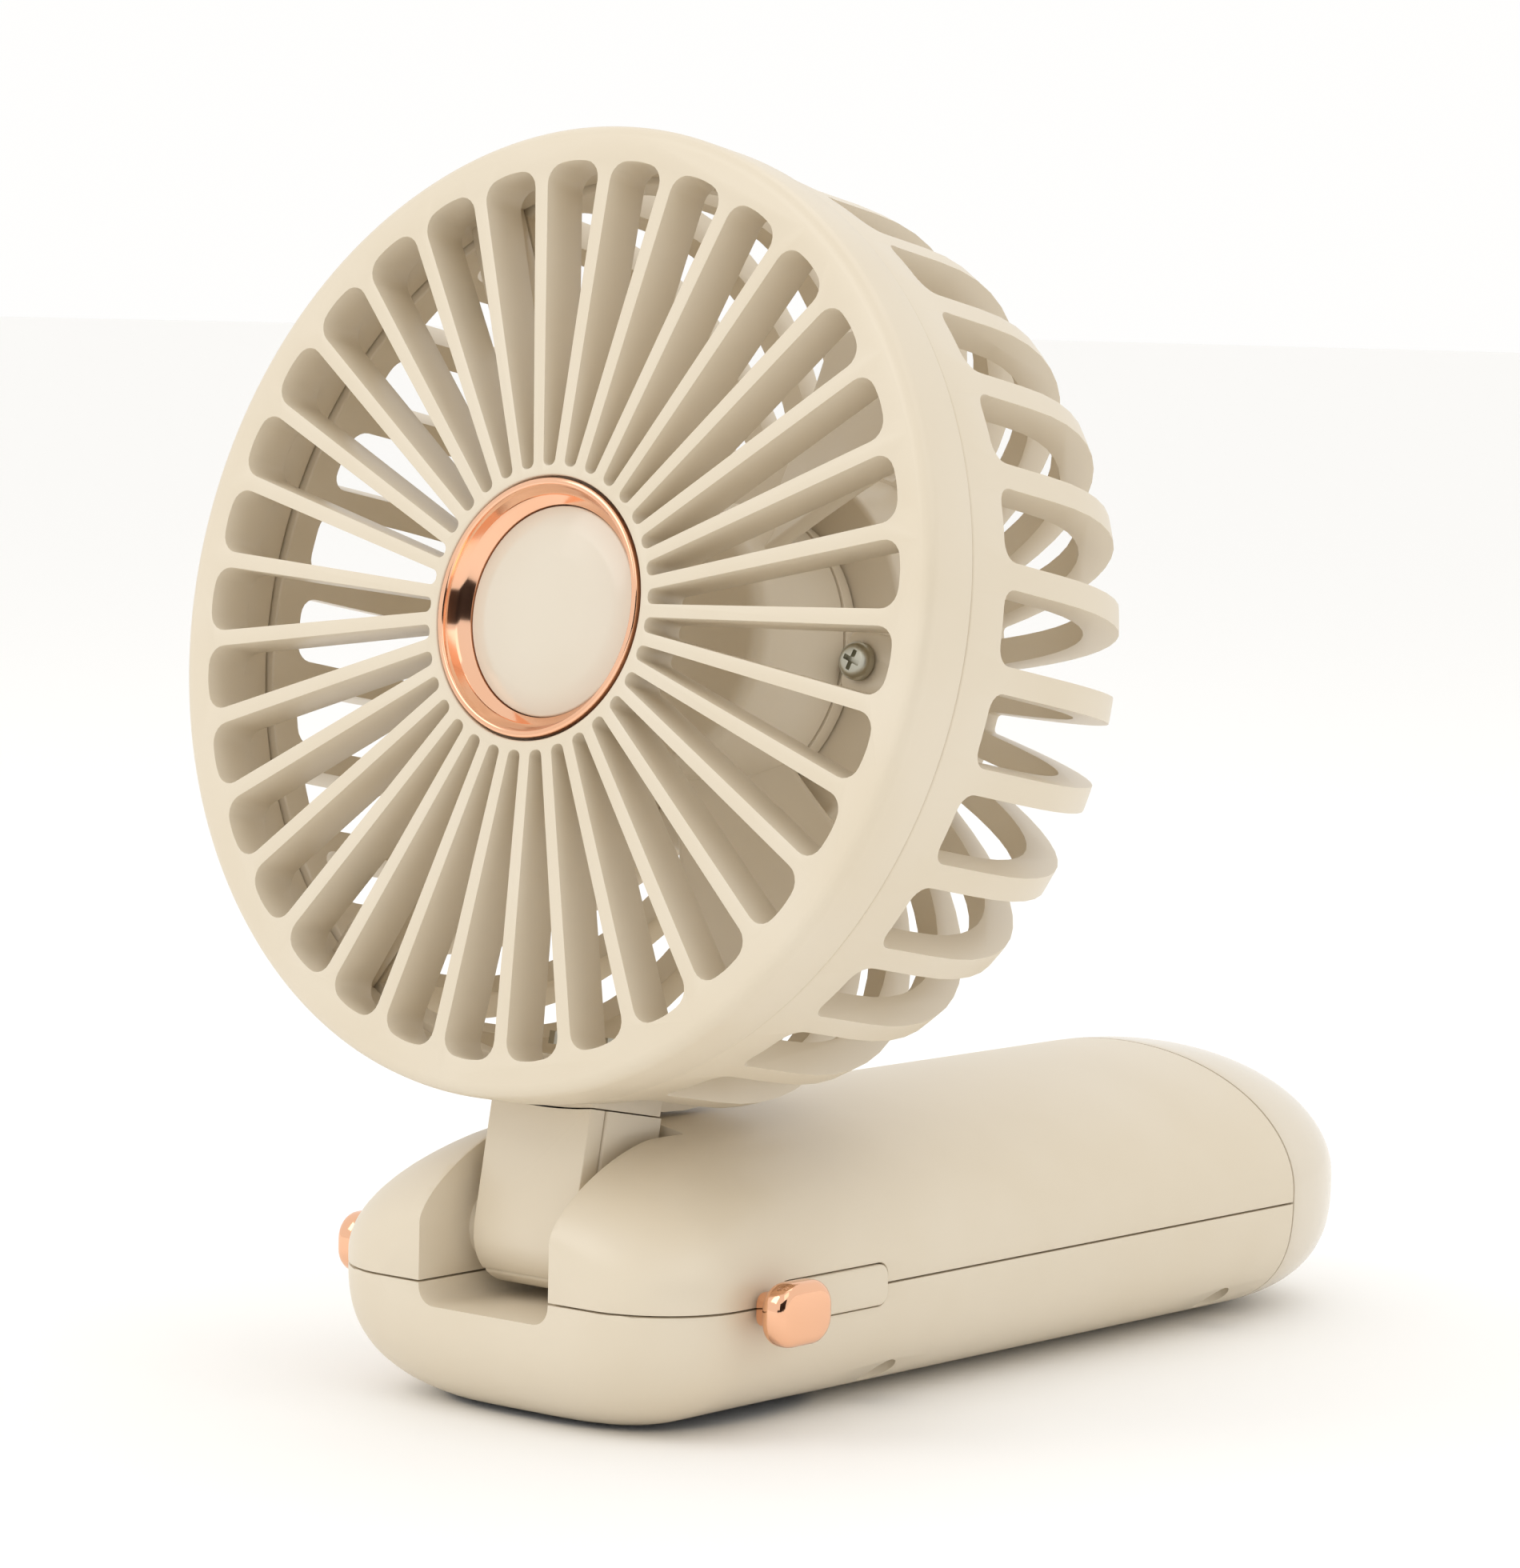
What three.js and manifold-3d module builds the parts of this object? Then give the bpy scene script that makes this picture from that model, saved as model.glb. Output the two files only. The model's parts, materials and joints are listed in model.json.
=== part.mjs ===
// Folding handheld fan: a round caged head on a short neck that folds in the notched end of a
// flat-oval handle. Millimetres, +Z up. The origin is on the handle's flat underside, halfway
// along the handle; the handle runs along Y with its hinge end at -Y, and the head faces -Y.
import * as THREE from 'three';
import { mergeVertices } from 'three/addons/utils/BufferGeometryUtils.js';
import Module from 'manifold-3d';

const wasm = await Module();
wasm.setup();

// ---------------------------------------------------------------- driving dimensions
const gap = 0.3; // clearance between neighbouring pieces

// handle
const handleLength = 146.2;
const handleHalfWidth = 27.7;
const handleTopRise = 16.4; // from the section's middle to the crown
const handleUnderDrop = 16.8; // from the section's middle to the uncut belly
const sectionHeight = 16.2; // height of the section's middle above the flat underside
const shellWall = 2;
const seamHeight = 14.8;
const capLength = 26.4;
const capLip = 4;
const frontPlanRound = 12;
const frontTopRound = 17;
const frontUnderRound = 12.5;
const frontBlunt = { wide: 0.57, rise: 0.42, drop: 0.38 }; // share of the section left at the front face
const rearRound = 27;

// hinge
const pivotInset = 12.7; // pivot behind the handle's front end
const pivotHeight = 20;
const leanDeg = 10.7; // how far the head leans back at rest
const pinRadius = 2;
const bossWall = 2.4;
const neckHalfWidth = 7.5;
const neckHalfThick = 6.3;
const neckFrontPlate = 2.6;
const notchHalfWidth = neckHalfWidth + 2.3;
const notchFloor = 12.2;
const notchBackRoom = 1.2; // room behind the leaning neck
const pinHalfLength = notchHalfWidth + 3.2;
const washerRadius = pinRadius + 2.6;
const washerThick = 1;

// head
const headRadius = 55;
const headReach = headRadius + 14; // pivot to head axis
const headSet = 18.8; // front face ahead of the pivot
const ringWall = 2.1;
const frontRingDepth = 7.5;
const rearRingEnd = 14;
const vaneCount = 33;
const vaneDepth = 6;
const slotOuterRadius = headRadius - 4.1;
const slotInnerRadius = 16.1;
const vaneWidthInner = 1.2;
const vaneWidthOuter = 1.75;
const slotPhaseDeg = -3.66;
const tabInner = slotOuterRadius - 12.3; // inner end of the screw tabs
const tabScrewRing = tabInner + 2.4;
const tabHalfWidth = 3.3;
const tabFront = 7.6;
const tabThick = 2.3;
const bossThick = 3.4;
const badgeRadius = 14.7;
const badgeDiscRadius = 12;
const badgeDish = 2.5;

// rear guard
const ribCount = 30;
const ribWidth = 3;
const ribDeep = 4.8;
const guardRadius = headRadius - 0.9;
const guardStraight = 24.5; // depth where the ribs start to turn in
const guardDepth = 55; // depth at the centre
const guardPower = 2.2; // how square the turn is: 2 is an ellipse
const guardHubRadius = 24;
const guardHubFront = 36;
const ribPhaseDeg = 9.3;

// impeller and motor
const bladeCount = 3;
const bladeRadius = headRadius - 13;
const bladePhaseDeg = 178;
const bladeSweepDeg = 36;
const bladeThick = 1.6;
const hubFrontRadius = 16;
const hubRearRadius = 17.4;
const hubFront = 20;
const hubRear = 33.6;
const hubWall = 1.6;
const canWall = 1.2;
const magnetThick = 1;
const airGap = 0.6;
const shaftRadius = 1;
const basePlateFront = 34.2;
const baseTabReach = 22.8;
const baseScrewRing = 19.9;

// carry posts
const postHeight = 14.8;
const postSetback = 16; // post behind the handle's front end
const postFace = handleHalfWidth + 6.3;
const postKnobThick = 3.3;
const postKnobWidth = 9.5;
const postKnobTall = 7.2;
const insertTall = 4.7;
const insertFront = 18.7; // insert's ends behind the handle's front end
const insertBack = 37.8;

// panel, button and electronics
const panelHalfWidth = 19;
const panelFront = 7;
const panelBack = 43;
const panelFlange = 1.5;
const buttonRadius = 4.5;
const buttonSetback = 37;
const buttonTravel = 0.5;
const boardHeight = 6.4;
const boardThick = 1.2;
const boardHalfWidth = 15;
const boardFront = 9.5;
const boardBack = 49;
const cellRadius = 9.2;
const cellSpacing = 2 * cellRadius + 0.8;
const cellFront = 52;
const cellLength = handleLength - cellFront - capLength - 2.8;
const usbHalfWidth = 4.5;
const usbHalfTall = 1.6;
const usbLength = 7.3;
const screwShank = 1;
const screwHead = 2;
const screwHeadTall = 1.5;
const bossRadius = 3;

// places that follow from the sizes above
const frontY = -handleLength / 2;
const rearY = handleLength / 2;
const pivotY = frontY + pivotInset;
const capSeamY = rearY - capLength;
const lean = THREE.MathUtils.degToRad(leanDeg);
const tinySteps = 10;
const smallSteps = 20;

// ---------------------------------------------------------------- finishes
const finish = (color, roughness, metalness) =>
  new THREE.MeshStandardMaterial({ color, roughness, metalness });
const creamAbs = finish(0xe6dbc9, 0.42, 0);
const glossCream = finish(0xeae0cf, 0.22, 0);
const roseGold = finish(0xf0a57a, 0.12, 1);
const zincSteel = finish(0xb9b6aa, 0.35, 1);
const darkGloss = finish(0x101113, 0.08, 0);
const blackPlastic = finish(0x1d1e20, 0.5, 0);
const boardGreen = finish(0x1f5a3c, 0.5, 0);
const cellBlue = finish(0x2f6fb0, 0.4, 0);
const nickel = finish(0xc9c6bd, 0.3, 1);
const darkSteel = finish(0x5c5e61, 0.45, 1);
const copper = finish(0xb8703f, 0.35, 1);
const redSleeve = finish(0xb3262a, 0.5, 0);
const blackSleeve = finish(0x17181a, 0.5, 0);

// ---------------------------------------------------------------- solid helpers
function signedVolume(vertices, triangles) {
  let sum = 0;
  const a = new THREE.Vector3();
  const b = new THREE.Vector3();
  const c = new THREE.Vector3();
  for (let i = 0; i < triangles.length; i += 3) {
    a.fromArray(vertices, triangles[i] * 3);
    b.fromArray(vertices, triangles[i + 1] * 3);
    c.fromArray(vertices, triangles[i + 2] * 3);
    sum += a.dot(b.cross(c));
  }
  return sum / 6;
}

// A closed three.js geometry as a manifold solid with its faces pointing out.
function solid(geometry) {
  geometry.deleteAttribute('normal');
  geometry.deleteAttribute('uv');
  const merged = mergeVertices(geometry, 1e-4);
  const vertProperties = new Float32Array(merged.attributes.position.array);
  const triVerts = new Uint32Array(merged.index.array);
  const kept = [];
  for (let i = 0; i < triVerts.length; i += 3) {
    const [p, q, r] = triVerts.subarray(i, i + 3);
    if (p !== q && q !== r && r !== p) kept.push(p, q, r);
  }
  if (signedVolume(vertProperties, kept) < 0) kept.reverse();
  const mesh = new wasm.Mesh({ numProp: 3, vertProperties, triVerts: new Uint32Array(kept) });
  return new wasm.Manifold(mesh);
}

function geometryOf(shape) {
  const mesh = shape.getMesh();
  const geometry = new THREE.BufferGeometry();
  geometry.setAttribute('position', new THREE.BufferAttribute(new Float32Array(mesh.vertProperties), 3));
  geometry.setIndex(new THREE.BufferAttribute(new Uint32Array(mesh.triVerts), 1));
  geometry.computeVertexNormals();
  return geometry;
}

function addMesh(group, name, shape, material) {
  const mesh = new THREE.Mesh(geometryOf(shape), material);
  mesh.name = name;
  group.add(mesh);
  return mesh;
}

// Box between two corners.
function block(low, high) {
  const size = high.map((value, i) => value - low[i]);
  const geometry = new THREE.BoxGeometry(...size);
  geometry.translate(...high.map((value, i) => (value + low[i]) / 2));
  return solid(geometry);
}

// Cylinder from one depth to another along an axis through (u, v) of the other two axes.
function rod(axis, from, to, radius, u = 0, v = 0, steps = smallSteps) {
  const geometry = new THREE.CylinderGeometry(radius, radius, to - from, steps);
  geometry.translate(0, (from + to) / 2, 0);
  if (axis === 'x') geometry.rotateZ(-Math.PI / 2).translate(0, u, v);
  if (axis === 'y') geometry.translate(u, 0, v);
  if (axis === 'z') geometry.rotateX(Math.PI / 2).translate(u, v, 0);
  return solid(geometry);
}

// Body of revolution about Y from [radius, depth] pairs that close on themselves or on the axis.
function turned(profile, steps) {
  const points = profile.map(([radius, depth]) => new THREE.Vector2(radius, depth));
  if (profile[0][0] > 0) points.push(points[0].clone());
  return solid(new THREE.LatheGeometry(points, steps));
}

// A flat outline in X and Z, given depth along Y.
function plateY(outline, from, to, curveSegments = 4) {
  const depth = to - from;
  const geometry = new THREE.ExtrudeGeometry(outline, { depth, bevelEnabled: false, curveSegments });
  geometry.rotateX(Math.PI / 2).translate(0, to, 0);
  return solid(geometry);
}

// A flat outline in X and Y, given height along Z.
function plateZ(outline, from, to, curveSegments = 6) {
  const depth = to - from;
  const geometry = new THREE.ExtrudeGeometry(outline, { depth, bevelEnabled: false, curveSegments });
  geometry.translate(0, 0, from);
  return solid(geometry);
}

function roundedRect(halfU, halfV, radius, centreU = 0, centreV = 0) {
  const outline = new THREE.Shape();
  const left = centreU - halfU;
  const right = centreU + halfU;
  const low = centreV - halfV;
  const high = centreV + halfV;
  outline.moveTo(left + radius, low);
  outline.lineTo(right - radius, low);
  outline.absarc(right - radius, low + radius, radius, -Math.PI / 2, 0);
  outline.lineTo(right, high - radius);
  outline.absarc(right - radius, high - radius, radius, 0, Math.PI / 2);
  outline.lineTo(left + radius, high);
  outline.absarc(left + radius, high - radius, radius, Math.PI / 2, Math.PI);
  outline.lineTo(left, low + radius);
  outline.absarc(left + radius, low + radius, radius, Math.PI, Math.PI * 1.5);
  return outline;
}

const polar = (radius, degrees) => {
  const angle = THREE.MathUtils.degToRad(degrees);
  return [radius * Math.cos(angle), radius * Math.sin(angle)];
};

// ---------------------------------------------------------------- handle form
// How full the section is at a distance from an end that is rounded over a length.
function fullness(distance, length, power, blunt = 0) {
  if (distance >= length) return 1;
  const left = 1 - Math.max(distance, 0) / length;
  return blunt + (1 - blunt) * Math.pow(1 - Math.pow(left, power), 1 / power);
}

// Places along the handle where a ring of the loft stands, closer together at both ends.
function formStations(length, frontReach, rearReach) {
  const endSteps = 5;
  const ease = (i) => 1 - Math.cos((i / endSteps) * Math.PI / 2);
  const stations = [];
  for (let i = 0; i <= endSteps; i += 1) stations.push(frontReach * ease(i));
  for (let i = endSteps; i >= 1; i -= 1) stations.push(length - rearReach * ease(i));
  return stations;
}

// Half width, rise and drop of the handle's section at a place along it.
function sectionAt(along, length, inset) {
  const rear = fullness(length - along, rearRound - inset, 2.1);
  const wide = fullness(along, frontPlanRound - inset, 2, frontBlunt.wide);
  const rise = fullness(along, frontTopRound - inset, 1.4, frontBlunt.rise);
  const drop = fullness(along, frontUnderRound - inset, 2, frontBlunt.drop);
  return [
    (handleHalfWidth - inset) * Math.min(wide, rear),
    (handleTopRise - inset) * Math.min(rise, rear),
    (handleUnderDrop - inset) * Math.min(drop, rear),
  ];
}

// Outer form of the handle, moved inwards by an inset: a closed loft of rings along Y.
function handleForm(inset) {
  const ringSteps = 28;
  const length = handleLength - 2 * inset;
  const startY = frontY + inset;
  const stations = formStations(length, frontTopRound - inset, rearRound - inset);
  const positions = [0, startY, sectionHeight];
  for (const along of stations) {
    const [wide, rise, drop] = sectionAt(along, length, inset);
    for (let k = 0; k < ringSteps; k += 1) {
      const angle = (k / ringSteps) * Math.PI * 2;
      const cos = Math.cos(angle);
      const sin = Math.sin(angle);
      const power = sin >= 0 ? 1 : 2 / 3;
      const x = wide * Math.sign(cos) * Math.pow(Math.abs(cos), power);
      const z = (sin >= 0 ? rise : drop) * Math.sign(sin) * Math.pow(Math.abs(sin), power);
      positions.push(x, startY + along, sectionHeight + z);
    }
  }
  positions.push(0, startY + length, sectionHeight);
  const last = positions.length / 3 - 1;
  const index = [];
  const ringStart = (ring) => 1 + ring * ringSteps;
  for (let k = 0; k < ringSteps; k += 1) {
    const next = (k + 1) % ringSteps;
    index.push(0, 1 + k, 1 + next);
    for (let ring = 0; ring < stations.length - 1; ring += 1) {
      const a = ringStart(ring) + k;
      const b = ringStart(ring) + next;
      const c = ringStart(ring + 1) + k;
      const d = ringStart(ring + 1) + next;
      index.push(a, c, b, b, c, d);
    }
    index.push(last, ringStart(stations.length - 1) + next, ringStart(stations.length - 1) + k);
  }
  const geometry = new THREE.BufferGeometry();
  geometry.setAttribute('position', new THREE.Float32BufferAttribute(positions, 3));
  geometry.setIndex(index);
  const below = block([-99, -199, inset - 99], [99, 199, inset]);
  return solid(geometry).subtract(below);
}

// The space the neck swings in.
function notchCutter(grow) {
  const leaningBack = neckHalfThick * Math.cos(lean) + (handleTopRise - 3) * Math.sin(lean);
  const back = pivotY + leaningBack + notchBackRoom + grow;
  const half = notchHalfWidth + grow;
  return block([-half, frontY - 5, notchFloor - grow], [half, back, 60]);
}

const screwX = cellSpacing / 2 + cellRadius + gap + bossRadius + 0.1;
const screwPlaces = [
  [-screwX, frontY + 43],
  [screwX, frontY + 43],
  [-screwX, capSeamY - 10],
  [screwX, capSeamY - 10],
];
const screwSeat = 7; // height of the shell screws' seats
const screwTip = 22;

const insertOutline = (grow) =>
  roundedRect(
    (insertBack - insertFront) / 2 + grow,
    insertTall / 2 + grow,
    1.4 + grow,
    frontY + (insertFront + insertBack) / 2,
    postHeight,
  );

// A flat outline in Y and Z, given width along X.
function plateX(outline, from, to) {
  const depth = to - from;
  const geometry = new THREE.ExtrudeGeometry(outline, { depth, bevelEnabled: false, curveSegments: 3 });
  geometry.rotateX(Math.PI / 2).rotateZ(Math.PI / 2).translate(from, 0, 0);
  return solid(geometry);
}

const outerForm = handleForm(0);
const innerForm = handleForm(shellWall);

// Both shells in one piece, hollow, with the notch, hinge bosses and insert windows.
function handleCase() {
  const cavity = innerForm.subtract(notchCutter(shellWall));
  let body = outerForm.subtract(cavity).subtract(notchCutter(0));
  const slotHalf = neckHalfWidth + 2 * gap;
  for (const side of [-1, 1]) {
    const from = side < 0 ? -pinHalfLength : slotHalf;
    const to = side < 0 ? -slotHalf : pinHalfLength;
    body = body.add(rod('x', from, to, pinRadius + bossWall, pivotY, pivotHeight));
    const windowFrom = side < 0 ? -handleHalfWidth - 4 : handleHalfWidth - 6;
    body = body.subtract(plateX(insertOutline(gap), windowFrom, windowFrom + 10));
  }
  for (const [x, y] of screwPlaces) {
    body = body.add(rod('z', 0, 40, bossRadius, x, y, tinySteps).intersect(outerForm));
  }
  const pinReach = pinHalfLength + 1;
  body = body.subtract(rod('x', -pinReach, pinReach, pinRadius + gap, pivotY, pivotHeight));
  for (const [x, y] of screwPlaces) {
    body = body.subtract(rod('z', -1, screwSeat, screwHead + gap, x, y, tinySteps));
    body = body.subtract(rod('z', 0, screwTip + 1, screwShank + gap, x, y, tinySteps));
  }
  return body.subtract(block([-99, capSeamY - gap, -9], [99, 199, 99]));
}

function panelOutline(grow) {
  const outline = new THREE.Shape();
  const middle = frontY + (panelFront + panelBack) / 2;
  const halfLong = (panelBack - panelFront) / 2 + grow;
  const halfWide = panelHalfWidth + grow;
  const steps = 28;
  for (let i = 0; i < steps; i += 1) {
    const angle = (i / steps) * Math.PI * 2;
    const x = halfWide * Math.sign(Math.cos(angle)) * Math.pow(Math.abs(Math.cos(angle)), 0.72);
    const y = middle + halfLong * Math.sign(Math.sin(angle)) * Math.pow(Math.abs(Math.sin(angle)), 0.72);
    if (i === 0) outline.moveTo(x, y);
    else outline.lineTo(x, y);
  }
  return outline;
}

const buttonY = frontY + buttonSetback;

function buildShells(group) {
  const body = handleCase();
  const above = block([-99, -199, seamHeight + gap / 2], [99, 199, 99]);
  const under = block([-99, -199, -9], [99, 199, seamHeight - gap / 2]);
  const window = plateZ(panelOutline(gap), -1, notchFloor - shellWall - gap);
  addMesh(group, 'handle_top_shell', body.intersect(above), creamAbs);
  addMesh(
    group,
    'handle_bottom_shell',
    body.intersect(under).subtract(window.intersect(panelKeepOut())),
    creamAbs,
  );
}

// The window for the panel reaches only through the belly's wall.
function panelKeepOut() {
  return block([-99, frontY, -1], [99, 0, seamHeight]).subtract(handleForm(shellWall + 0.01));
}

function buildCap(group) {
  const rear = block([-99, capSeamY, -9], [99, 199, 99]);
  const hollow = handleForm(2 * shellWall);
  const lipZone = block([-99, capSeamY - capLip, -9], [99, capSeamY + 3, 99]);
  const rootZone = block([-99, capSeamY, -9], [99, capSeamY + 3, 99]);
  const lip = handleForm(shellWall + gap).intersect(lipZone);
  const root = handleForm(shellWall - 0.2).intersect(rootZone);
  const hole = plateY(
    roundedRect(usbHalfWidth + gap, usbHalfTall + gap, usbHalfTall + gap - 0.01, 0, sectionHeight),
    rearY - 8,
    rearY + 1,
  );
  const inside = lip.add(root).subtract(hollow);
  const cap = outerForm.intersect(rear).subtract(innerForm).add(inside).subtract(hole);
  addMesh(group, 'end_cap', cap, glossCream);
}

function buildPanel(group) {
  const face = handleForm(0.2).subtract(handleForm(shellWall + gap + 0.5));
  const plug = plateZ(panelOutline(0), -1, 9).intersect(face);
  const ledgeForm = handleForm(shellWall + gap).subtract(handleForm(shellWall + gap + 1));
  const ledge = plateZ(panelOutline(panelFlange), -1, 9).intersect(ledgeForm);
  const hole = rod('z', -1, 9, buttonRadius + gap, 0, buttonY);
  addMesh(group, 'display_lens', plug.add(ledge).subtract(hole), darkGloss);
}

// Sprung key that shows in the panel: a cap, a retaining flange and a stem.
function buildButton(group) {
  const flangeFloor = shellWall + 2 * gap + 1;
  const cap = rod('z', 0.3, flangeFloor + 0.1, buttonRadius, 0, buttonY);
  const flange = rod('z', flangeFloor, flangeFloor + 0.7, buttonRadius + 1, 0, buttonY);
  addMesh(group, 'power_button', cap.add(flange), roseGold);
}

function buildElectronics(group) {
  const underside = boardHeight;
  const flangeTop = shellWall + 2 * gap + 1.7;
  const switchFloor = flangeTop + buttonTravel + gap;
  const board = block(
    [-boardHalfWidth, frontY + boardFront, boardHeight],
    [boardHalfWidth, frontY + boardBack, boardHeight + boardThick],
  );
  addMesh(group, 'main_board', board, boardGreen);
  addMesh(
    group,
    'tact_switch',
    block([-3, buttonY - 3, switchFloor], [3, buttonY + 3, underside - gap]),
    blackPlastic,
  );
  const displayY = frontY + 20;
  const displayFloor = shellWall + 1 + 2 * gap;
  addMesh(
    group,
    'display_module',
    block([-11, displayY - 6, displayFloor], [11, displayY + 6, underside - gap]),
    blackPlastic,
  );
  const chipTop = boardHeight + boardThick + gap;
  addMesh(
    group,
    'control_chip',
    block([-4, frontY + 40, chipTop], [4, frontY + 46, chipTop + 1.4]),
    blackPlastic,
  );
  const usbMouth = rearY - shellWall * 0.4;
  const socketOuter = plateY(
    roundedRect(usbHalfWidth, usbHalfTall, usbHalfTall - 0.01, 0, sectionHeight),
    usbMouth - usbLength,
    usbMouth,
  );
  const socketBore = plateY(
    roundedRect(usbHalfWidth - 0.4, usbHalfTall - 0.4, usbHalfTall - 0.41, 0, sectionHeight),
    usbMouth - usbLength + 1,
    usbMouth + 1,
  );
  const tongue = block(
    [-3.3, usbMouth - usbLength + 0.5, sectionHeight - 0.35],
    [3.3, usbMouth - 1.2, sectionHeight + 0.35],
  );
  addMesh(group, 'usb_socket', socketOuter.subtract(socketBore).add(tongue), nickel);
  const boardTop = sectionHeight - usbHalfTall - gap;
  addMesh(
    group,
    'charge_board',
    block([-8, usbMouth - usbLength - 12, boardTop - boardThick], [8, rearY - 1.7 * shellWall, boardTop]),
    boardGreen,
  );
}

function buildCells(group) {
  const front = frontY + cellFront;
  for (const [name, side] of [['battery_cell_left', -1], ['battery_cell_right', 1]]) {
    const profile = [
      [0, front],
      [cellRadius - 0.6, front],
      [cellRadius, front + 0.6],
      [cellRadius, front + cellLength - 2.4],
      [cellRadius - 0.8, front + cellLength - 1.2],
      [3, front + cellLength - 1.2],
      [3, front + cellLength],
      [0, front + cellLength],
    ];
    const mesh = addMesh(group, name, turned(profile, smallSteps), cellBlue);
    mesh.position.set((side * cellSpacing) / 2, 0, sectionHeight);
  }
  const reach = cellSpacing / 2 + 4;
  addMesh(
    group,
    'cell_strip',
    block([-reach, front - gap - 0.4, sectionHeight - 3], [reach, front - gap, sectionHeight + 3]),
    nickel,
  );
}

// Two insulated leads from the cell strip down to the main board.
function buildLeads(group) {
  const start = frontY + cellFront - 2 * gap - 0.7;
  const leads = [['battery_lead_red', -6, redSleeve], ['battery_lead_black', 6, blackSleeve]];
  for (const [name, x, material] of leads) {
    const path = new THREE.CatmullRomCurve3([
      new THREE.Vector3(x, start, sectionHeight),
      new THREE.Vector3(x, start - 1.6, sectionHeight - 1),
      new THREE.Vector3(x, start - 2.6, sectionHeight - 4),
      new THREE.Vector3(x, start - 3.4, boardHeight + boardThick + gap),
    ]);
    const section = new THREE.Shape().absarc(0, 0, 0.65, 0, Math.PI * 2);
    const geometry = new THREE.ExtrudeGeometry(section, { steps: 8, extrudePath: path, curveSegments: 4 });
    addMesh(group, name, solid(geometry), material);
  }
}

// ---------------------------------------------------------------- hinge, posts and shell screws
function buildHinge(group) {
  addMesh(
    group,
    'hinge_pin',
    rod('x', -pinHalfLength, pinHalfLength, pinRadius, pivotY, pivotHeight),
    zincSteel,
  );
  const outer = neckHalfWidth + gap;
  const washers = [['friction_washer_left', -outer], ['friction_washer_right', outer - washerThick]];
  for (const [name, from] of washers) {
    const disc = rod('x', from, from + washerThick, washerRadius, pivotY, pivotHeight);
    const bore = rod('x', from - 1, from + washerThick + 1, pinRadius + gap, pivotY, pivotHeight);
    addMesh(group, name, disc.subtract(bore), zincSteel);
  }
}

function buildPosts(group) {
  const postY = frontY + postSetback;
  const seat = handleHalfWidth + 0.3;
  for (const [label, side] of [['left', -1], ['right', 1]]) {
    const slab = (outline, near, far) =>
      side > 0 ? plateX(outline, near, far) : plateX(outline, -far, -near);
    const plate = slab(insertOutline(0), seat - 3.2, seat);
    addMesh(group, `side_insert_${label}`, plate, creamAbs);
    const knobBack = postFace - postKnobThick;
    const stem = slab(roundedRect(2.1, 1.9, 1.2, postY, postHeight), seat + gap, knobBack + 0.1);
    const knobBody = slab(
      roundedRect(postKnobWidth / 2, postKnobTall / 2, 3, postY, postHeight),
      knobBack,
      postFace - 0.8,
    );
    const knobFace = slab(
      roundedRect(postKnobWidth / 2 - 0.7, postKnobTall / 2 - 0.7, 2.4, postY, postHeight),
      postFace - 0.9,
      postFace,
    );
    addMesh(group, `carry_post_${label}`, stem.add(knobBody).add(knobFace), roseGold);
  }
}

// A pan-head screw standing on its head at the origin, shank along +Z.
function panScrew(length) {
  const head = rod('z', 0, screwHeadTall, screwHead, 0, 0, tinySteps);
  const shank = rod('z', screwHeadTall - 0.1, length, screwShank, 0, 0, tinySteps);
  const cross = block([-1.2, -0.3, -1], [1.2, 0.3, 0.7]).add(block([-0.3, -1.2, -1], [0.3, 1.2, 0.7]));
  return head.add(shank).subtract(cross);
}

function buildShellScrews(group) {
  screwPlaces.forEach(([x, y], i) => {
    const top = screwSeat - gap - screwHeadTall;
    const mesh = addMesh(group, `shell_screw_${i + 1}`, panScrew(screwTip - top), zincSteel);
    mesh.position.set(x, y, top);
  });
}

// ---------------------------------------------------------------- neck
function buildNeck(fold) {
  const split = -neckHalfThick + neckFrontPlate;
  const wrap = (y) => -Math.sqrt(neckHalfThick ** 2 - y ** 2);
  const front = new THREE.Shape();
  const top = headReach - headRadius - gap;
  front.moveTo(-neckHalfThick, top);
  front.lineTo(-neckHalfThick, 0);
  for (const y of [-6.1, -5.5, -4.7, split]) front.lineTo(y, wrap(y));
  front.lineTo(split, top);
  const rear = new THREE.Shape();
  const start = split + gap;
  rear.moveTo(start, top);
  for (const y of [start, -2, 0, 2, 4, 5.5]) rear.lineTo(y, wrap(y));
  rear.lineTo(neckHalfThick, 0);
  rear.lineTo(neckHalfThick, top);
  const pocket = neckHalfWidth - washerThick;
  const rightPocket = rod('x', pocket, 20, washerRadius + gap, 0, 0);
  const pockets = rightPocket.add(rod('x', -20, -pocket, washerRadius + gap, 0, 0));
  const cover = plateX(front, -neckHalfWidth, neckHalfWidth).subtract(pockets);
  addMesh(fold, 'neck_front_cover', cover, creamAbs);
  let body = plateX(rear, -neckHalfWidth, neckHalfWidth).subtract(pockets);
  body = body.subtract(rod('x', -20, 20, pinRadius + gap, 0, 0));
  for (const x of [-4, 4]) body = body.subtract(rod('z', 6.5, 20, screwShank + gap, x, 1, tinySteps));
  addMesh(fold, 'neck_body', body, creamAbs);
}

// Two screws that hold the neck to the guard's saddle, driven from inside the guard.
function buildNeckScrews(fold) {
  const saddleInner = headReach - (guardRadius - ribDeep - 1.2);
  for (const [name, x] of [['neck_screw_left', -4], ['neck_screw_right', 4]]) {
    const length = saddleInner + gap + screwHeadTall - 7.5;
    const mesh = addMesh(fold, name, panScrew(length), zincSteel);
    mesh.rotation.x = Math.PI;
    mesh.position.set(x, 1, saddleInner + gap + screwHeadTall);
  }
}

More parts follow.
